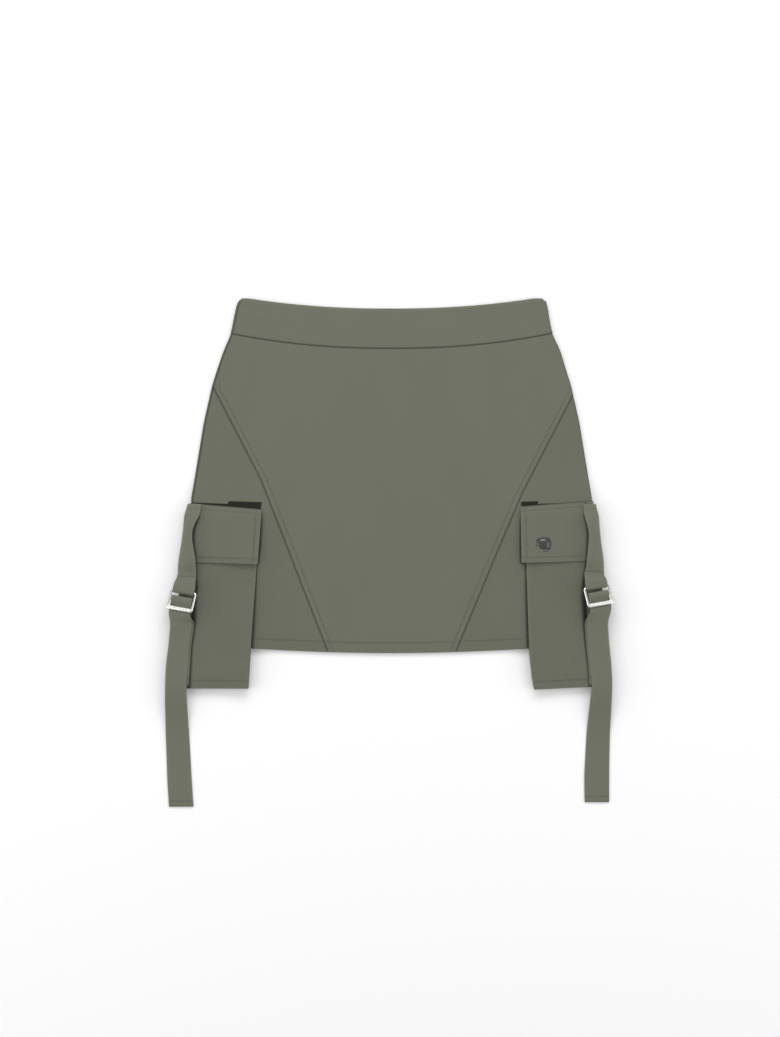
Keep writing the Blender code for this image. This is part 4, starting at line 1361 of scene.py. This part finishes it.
def tube(path, radius, closed):
    """A round tube of circles bridged one to the next."""
    bm = bmesh.new()
    rings = []
    count = len(path)
    for number, point in enumerate(path):
        before = path[(number - 1) % count] if closed or number else point
        after = path[(number + 1) % count] if closed or number < count - 1 else point
        turn = (after - before).to_track_quat("Z", "Y").to_matrix().to_4x4()
        turn.translation = Vector(place(point))
        ring = bmesh.ops.create_circle(bm, segments=TUBE_SIDES, radius=radius * MM, matrix=turn)
        rings.append(ring["verts"])
    pairs = list(zip(rings, rings[1:])) + ([(rings[-1], rings[0])] if closed else [])
    for first, second in pairs:
        both = set(first) | set(second)
        edges = {edge for vert in both for edge in vert.link_edges
                 if edge.other_vert(vert) in both and len(edge.link_faces) < 2}
        edges = [edge for edge in edges if (edge.verts[0] in first) == (edge.verts[1] in first)]
        bmesh.ops.bridge_loops(bm, edges=edges)
    if not closed:
        bmesh.ops.contextual_create(bm, geom=rings[0])
        bmesh.ops.contextual_create(bm, geom=rings[-1])
    bmesh.ops.recalc_face_normals(bm, faces=bm.faces)
    return bm


def corner(side, u, v, start, radius=SLIDE_CORNER, steps=7):
    """A quarter turn round a corner whose centre is at u, v."""
    turns = [math.radians(start + 90 * k / steps) for k in range(steps + 1)]
    return [slide_point(side, u + radius * math.cos(a), v + radius * math.sin(a), 0)
            for a in turns]


def slide_piece(side, word):
    u, c = SLIDE_HALF - SLIDE_CORNER, SLIDE_CORNER
    path = (corner(side, u, SLIDE_TOP - c, 0) + corner(side, -u, SLIDE_TOP - c, 90)
            + corner(side, -u, SLIDE_LOW + c, 180) + corner(side, u, SLIDE_LOW + c, 270))
    c = RAIL_CORNER
    rail = ([slide_point(side, -SLIDE_HALF, RAIL_START, 0),
             slide_point(side, RAIL_SIDE, RAIL_CLEAR, 0)]
            + corner(side, RAIL_SIDE + c, RAIL_LOW + c, 180, c)
            + [slide_point(side, SLIDE_HALF, RAIL_LOW, 0)])
    bar = [slide_point(side, -SLIDE_HALF, BAR_UP, 0), slide_point(side, SLIDE_HALF, BAR_UP, 0)]
    name = "slide_" + word
    made = finish_piece(name + "_metal", tube(path, SLIDE_WIRE, True), STEEL,
                        (name,))
    for number, (line, radius) in enumerate(((rail, SLIDE_BEAD), (bar, SLIDE_BAR))):
        mesh = bpy.data.meshes.new("tool")
        bm = tube(line, radius, False)
        bm.to_mesh(mesh)
        bm.free()
        mesh.materials.append(STEEL)
        tool = bpy.data.objects.new("tool_%s_%d" % (word, number), mesh)
        bpy.context.scene.collection.objects.link(tool)
        join = made.modifiers.new("join", "BOOLEAN")
        join.operation = "UNION"
        join.object = tool
        with bpy.context.temp_override(object=made, active_object=made):
            bpy.ops.object.modifier_apply(modifier=join.name)
        bpy.data.objects.remove(tool, do_unlink=True)
    made.data.shade_smooth()
    made.data.set_sharp_from_angle(angle=math.radians(50))
    compare(made, name)
    return made


for side, word in ((LEFT, "left"), (RIGHT, "right")):
    pieces["slide_" + word] = slide_piece(side, word)

# %% [markdown]
# ## Stud
#
# The right flap carries a small turned stud with a raised rim and a low dome. It is one profile
# spun round its axis.

# %% Turned stud
low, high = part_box("flap_stud")
STUD_MIDDLE = Vector(((low.x + high.x) / 2, (low.y + high.y) / 2, low.z))
STUD_RADIUS = (high.x - low.x) / 2
Turned = namedtuple("Turned", "radius height")
STUD_PROFILE = [
    Turned(0.0, 0.0), Turned(0.93, 0.0), Turned(0.99, 0.15), Turned(1.0, 0.45),
    Turned(0.985, 0.8), Turned(0.94, 1.1), Turned(0.88, 1.25), Turned(0.82, 1.2),
    Turned(0.77, 0.95), Turned(0.72, 0.88), Turned(0.66, 1.05), Turned(0.56, 1.42),
    Turned(0.42, 1.78), Turned(0.25, 2.0), Turned(0.1, 2.08), Turned(0.0, 2.1),
]
TURN_STEPS = 64


def stud_piece():
    bm = bmesh.new()
    dots = [bm.verts.new((row.radius * STUD_RADIUS, 0, row.height * MM)) for row in STUD_PROFILE]
    lines = [bm.edges.new(pair) for pair in zip(dots, dots[1:])]
    bmesh.ops.spin(bm, geom=dots + lines, axis=(0, 0, 1), cent=(0, 0, 0), steps=TURN_STEPS,
                   angle=2 * math.pi, use_merge=True)
    bmesh.ops.remove_doubles(bm, verts=bm.verts, dist=1e-6)
    rings = bm.loops.layers.uv.new("rings")
    for face in bm.faces:
        for loop in face.loops:
            spot = loop.vert.co
            loop[rings].uv = (0.0, spot.xy.length * 40)
    bmesh.ops.recalc_face_normals(bm, faces=bm.faces)
    bmesh.ops.translate(bm, verts=bm.verts, vec=STUD_MIDDLE)
    return finish_piece("flap_stud_metal", bm, NICKEL, ("flap_stud",))


pieces["flap_stud"] = stud_piece()
compare(pieces["flap_stud"], "flap_stud")

# %% [markdown]
# ## Stitches
#
# Thread is the smallest thing that shows. Each stitch is a tiny ball drawn out along its row,
# its ends sunk in the cloth. All the stitches of one piece of the skirt are one mesh.

# %% Rows of stitches
STITCH = 2.6                # length of a stitch and of the space after it
STITCH_SHARE = 0.74
THREAD_R = 0.24


def stitch_mesh(name, lines):
    """lines is a list of (points, normals) along rows of stitches, in millimetres."""
    bm = bmesh.new()
    count = 0
    for points, normals in lines:
        runs = np.concatenate([[0], np.cumsum(np.linalg.norm(np.diff(points, axis=0), axis=1))])
        number = max(1, int(runs[-1] / STITCH))
        for k in range(number):
            ends = [(k + 0.5 - STITCH_SHARE / 2) * runs[-1] / number,
                    (k + 0.5 + STITCH_SHARE / 2) * runs[-1] / number]
            start, end = [Vector([np.interp(run, runs, points[:, axis]) for axis in range(3)])
                          for run in ends]
            out = Vector([np.interp((ends[0] + ends[1]) / 2, runs, normals[:, axis])
                          for axis in range(3)]).normalized()
            along = (end - start).normalized()
            sideways = out.cross(along).normalized()
            turn = Matrix((along, sideways, out)).transposed().to_4x4()
            turn.translation = Vector(place((start + end) / 2 + out * 0.06))
            size = Matrix.Diagonal(((end - start).length / 2 + THREAD_R, THREAD_R, THREAD_R, 1))
            bmesh.ops.create_uvsphere(bm, u_segments=6, v_segments=5, radius=MM,
                                      matrix=turn @ size @ Matrix.Rotation(math.pi / 2, 4, "Y"))
            count += 1
    piece = finish_piece(name, bm, THREAD)
    print(name, "stitches", count)
    return piece


def leaf_line(leaf, q, y, wall):
    """A row of stitches on a leaf, given in its flat co-ordinates."""
    q, y = np.broadcast_arrays(np.asarray(q, float), np.asarray(y, float))
    skin = leaf.surface(q, y, wall / 2)
    above = leaf.surface(q, y, wall / 2 + 1.0)
    return skin, above - skin


def strap_line(strap, side, across, run):
    across, run = np.broadcast_arrays(np.asarray(across, float), np.asarray(run, float))
    point, normal, rise = strap.surface(across, run, STRAP_WALL / 2)
    return point + normal * side * rise[:, None], normal * side


def between(start, end, step=4.0):
    return np.linspace(start, end, max(2, int(abs(end - start) / step)))


hem_lines = []
slant_lines = []
for side, word in ((LEFT, "left"), (RIGHT, "right")):
    y = between(SLANT_TOP[side] - 9, float(hem_edge(70.0)) + 1.5)
    q = side * (slant(side, y) - ROW_IN / SLANT_LEAN)
    slant_lines.append(leaf_line(front, q, y, WALL))
    q = side * between(float(slant(side, -99.0)) + 1.5, float(fold_at(side, -95.0)) - 4)
    hem_lines.append(leaf_line(leaves["side_" + word], q, hem_edge(q) + HEM_DEEP, WALL))
    q = side * between(2.0, float(fold_at(side, -95.0)) - 3)
    hem_lines.append(leaf_line(leaves["back_" + word], q, hem_edge(q) + HEM_DEEP, WALL))
q = between(-float(slant(LEFT, -99.0)) + 1.5, float(slant(RIGHT, -99.0)) - 1.5)
hem_lines.append(leaf_line(front, q, hem_edge(q) + HEM_DEEP, WALL))
pieces["hem_stitches"] = stitch_mesh("hem_stitches", hem_lines)
pieces["slant_stitches"] = stitch_mesh("slant_stitches", slant_lines)

for side, word in ((LEFT, "left"), (RIGHT, "right")):
    flap = leaves["flap_" + word]
    inner = half(FLAP_EDGE, side, 20.0) + FLAP_ROW
    outer = float(fold_at(side, 20.0))
    whole = between(float(inner), 2 * outer - float(inner) + math.pi * FLAP_R)
    lines = []
    q = side * whole
    lines.append(leaf_line(flap, q, flap.low(q) + FLAP_ROW, FLAP_WALL))
    lines.append(leaf_line(flap, q, flap.high(q) - FLAP_ROW, FLAP_WALL))
    y = between(float(flap.low(np.array(side * inner))) + FLAP_ROW,
                float(flap.high(np.array(side * inner))) - FLAP_ROW)
    q = side * (half(FLAP_EDGE, side, y, 3.0) + FLAP_ROW)
    lines.append(leaf_line(flap, q, y, FLAP_WALL))
    pieces["flap_stitches_" + word] = stitch_mesh("flap_stitches_" + word, lines)
    bag = leaves["pocket_outer_" + word]
    edge = float(half(POCKET_EDGE, side, -140.0))
    q = side * between(edge + 2, 2 * float(fold_at(side, -140.0)) - edge + math.pi * OUTER_R - 2)
    pieces["pocket_stitches_" + word] = stitch_mesh(
        "pocket_stitches_" + word, [leaf_line(bag, q, bag.low(q) + POCKET_HEM, WALL)])
    lines = []
    for part in ("upper_", "lower_"):
        strap = straps[part + word]
        across = between(1.6, strap.width - 1.6, 2.0)
        lines.append(strap_line(strap, side, across, strap.tacks[0]))
    pieces["strap_stitches_" + word] = stitch_mesh("strap_stitches_" + word, lines)

# %% [markdown]
# ## Sheets of cloth
#
# Every cloth piece is listed with about the size it is cut to, as finished and laid flat.

Cut = namedtuple("Cut", "piece width length area rests_on")
CUTS = [
    Cut("front_centre", 0.404, 0.353, 0.1010, ["back_left_cloth", "back_right_cloth"]),
    Cut("front_side_left", 0.166, 0.288, 0.0256, ["back_left_cloth"]),
    Cut("front_side_right", 0.166, 0.278, 0.0246, ["back_right_cloth"]),
    Cut("back_left", 0.240, 0.353, 0.0750, []),
    Cut("back_right", 0.238, 0.353, 0.0745, []),
    Cut("waistband_front", 0.354, 0.055, 0.0148, ["waistband_back_left_cloth"]),
    Cut("waistband_back_left", 0.180, 0.055, 0.0077, []),
    Cut("waistband_back_right", 0.180, 0.055, 0.0077, []),
]
for word in ("left", "right"):
    CUTS += [
        Cut("pocket_inner_" + word, 0.186, 0.187, None, ["front_side_%s_cloth" % word]),
        Cut("pocket_outer_" + word, 0.190, 0.187, None, ["pocket_inner_%s_cloth" % word]),
        Cut("flap_" + word, 0.182, 0.067, None, ["pocket_outer_%s_cloth" % word]),
        Cut("upper_strap_" + word, 0.0245, 0.128, None, ["flap_%s_cloth" % word]),
        Cut("lower_strap_" + word, 0.0243, 0.330, None, ["pocket_outer_%s_cloth" % word]),
    ]
for cut in CUTS:
    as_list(cut.rests_on)
print("sheets:", len(CUTS))

# %% [markdown]
# ## Floor
#
# A plain pale surface, just under the skirt.

# %% Floor
def floor_piece():
    bm = bmesh.new()
    bmesh.ops.create_grid(bm, x_segments=1, y_segments=1, size=4.0)
    bmesh.ops.translate(bm, verts=bm.verts, vec=(0, 0, solid_box[0].z - 0.0004))
    mesh = bpy.data.meshes.new("floor")
    bm.to_mesh(mesh)
    bm.free()
    mesh.materials.append(plain_material("pale_floor", (0.93, 0.93, 0.93), 0.9)[0])
    made = bpy.data.objects.new("floor", mesh)
    bpy.context.scene.collection.objects.link(made)


floor_piece()

# %% Measure and finish
print("solid box ", [[round(v, 4) for v in c] for c in solid_box])
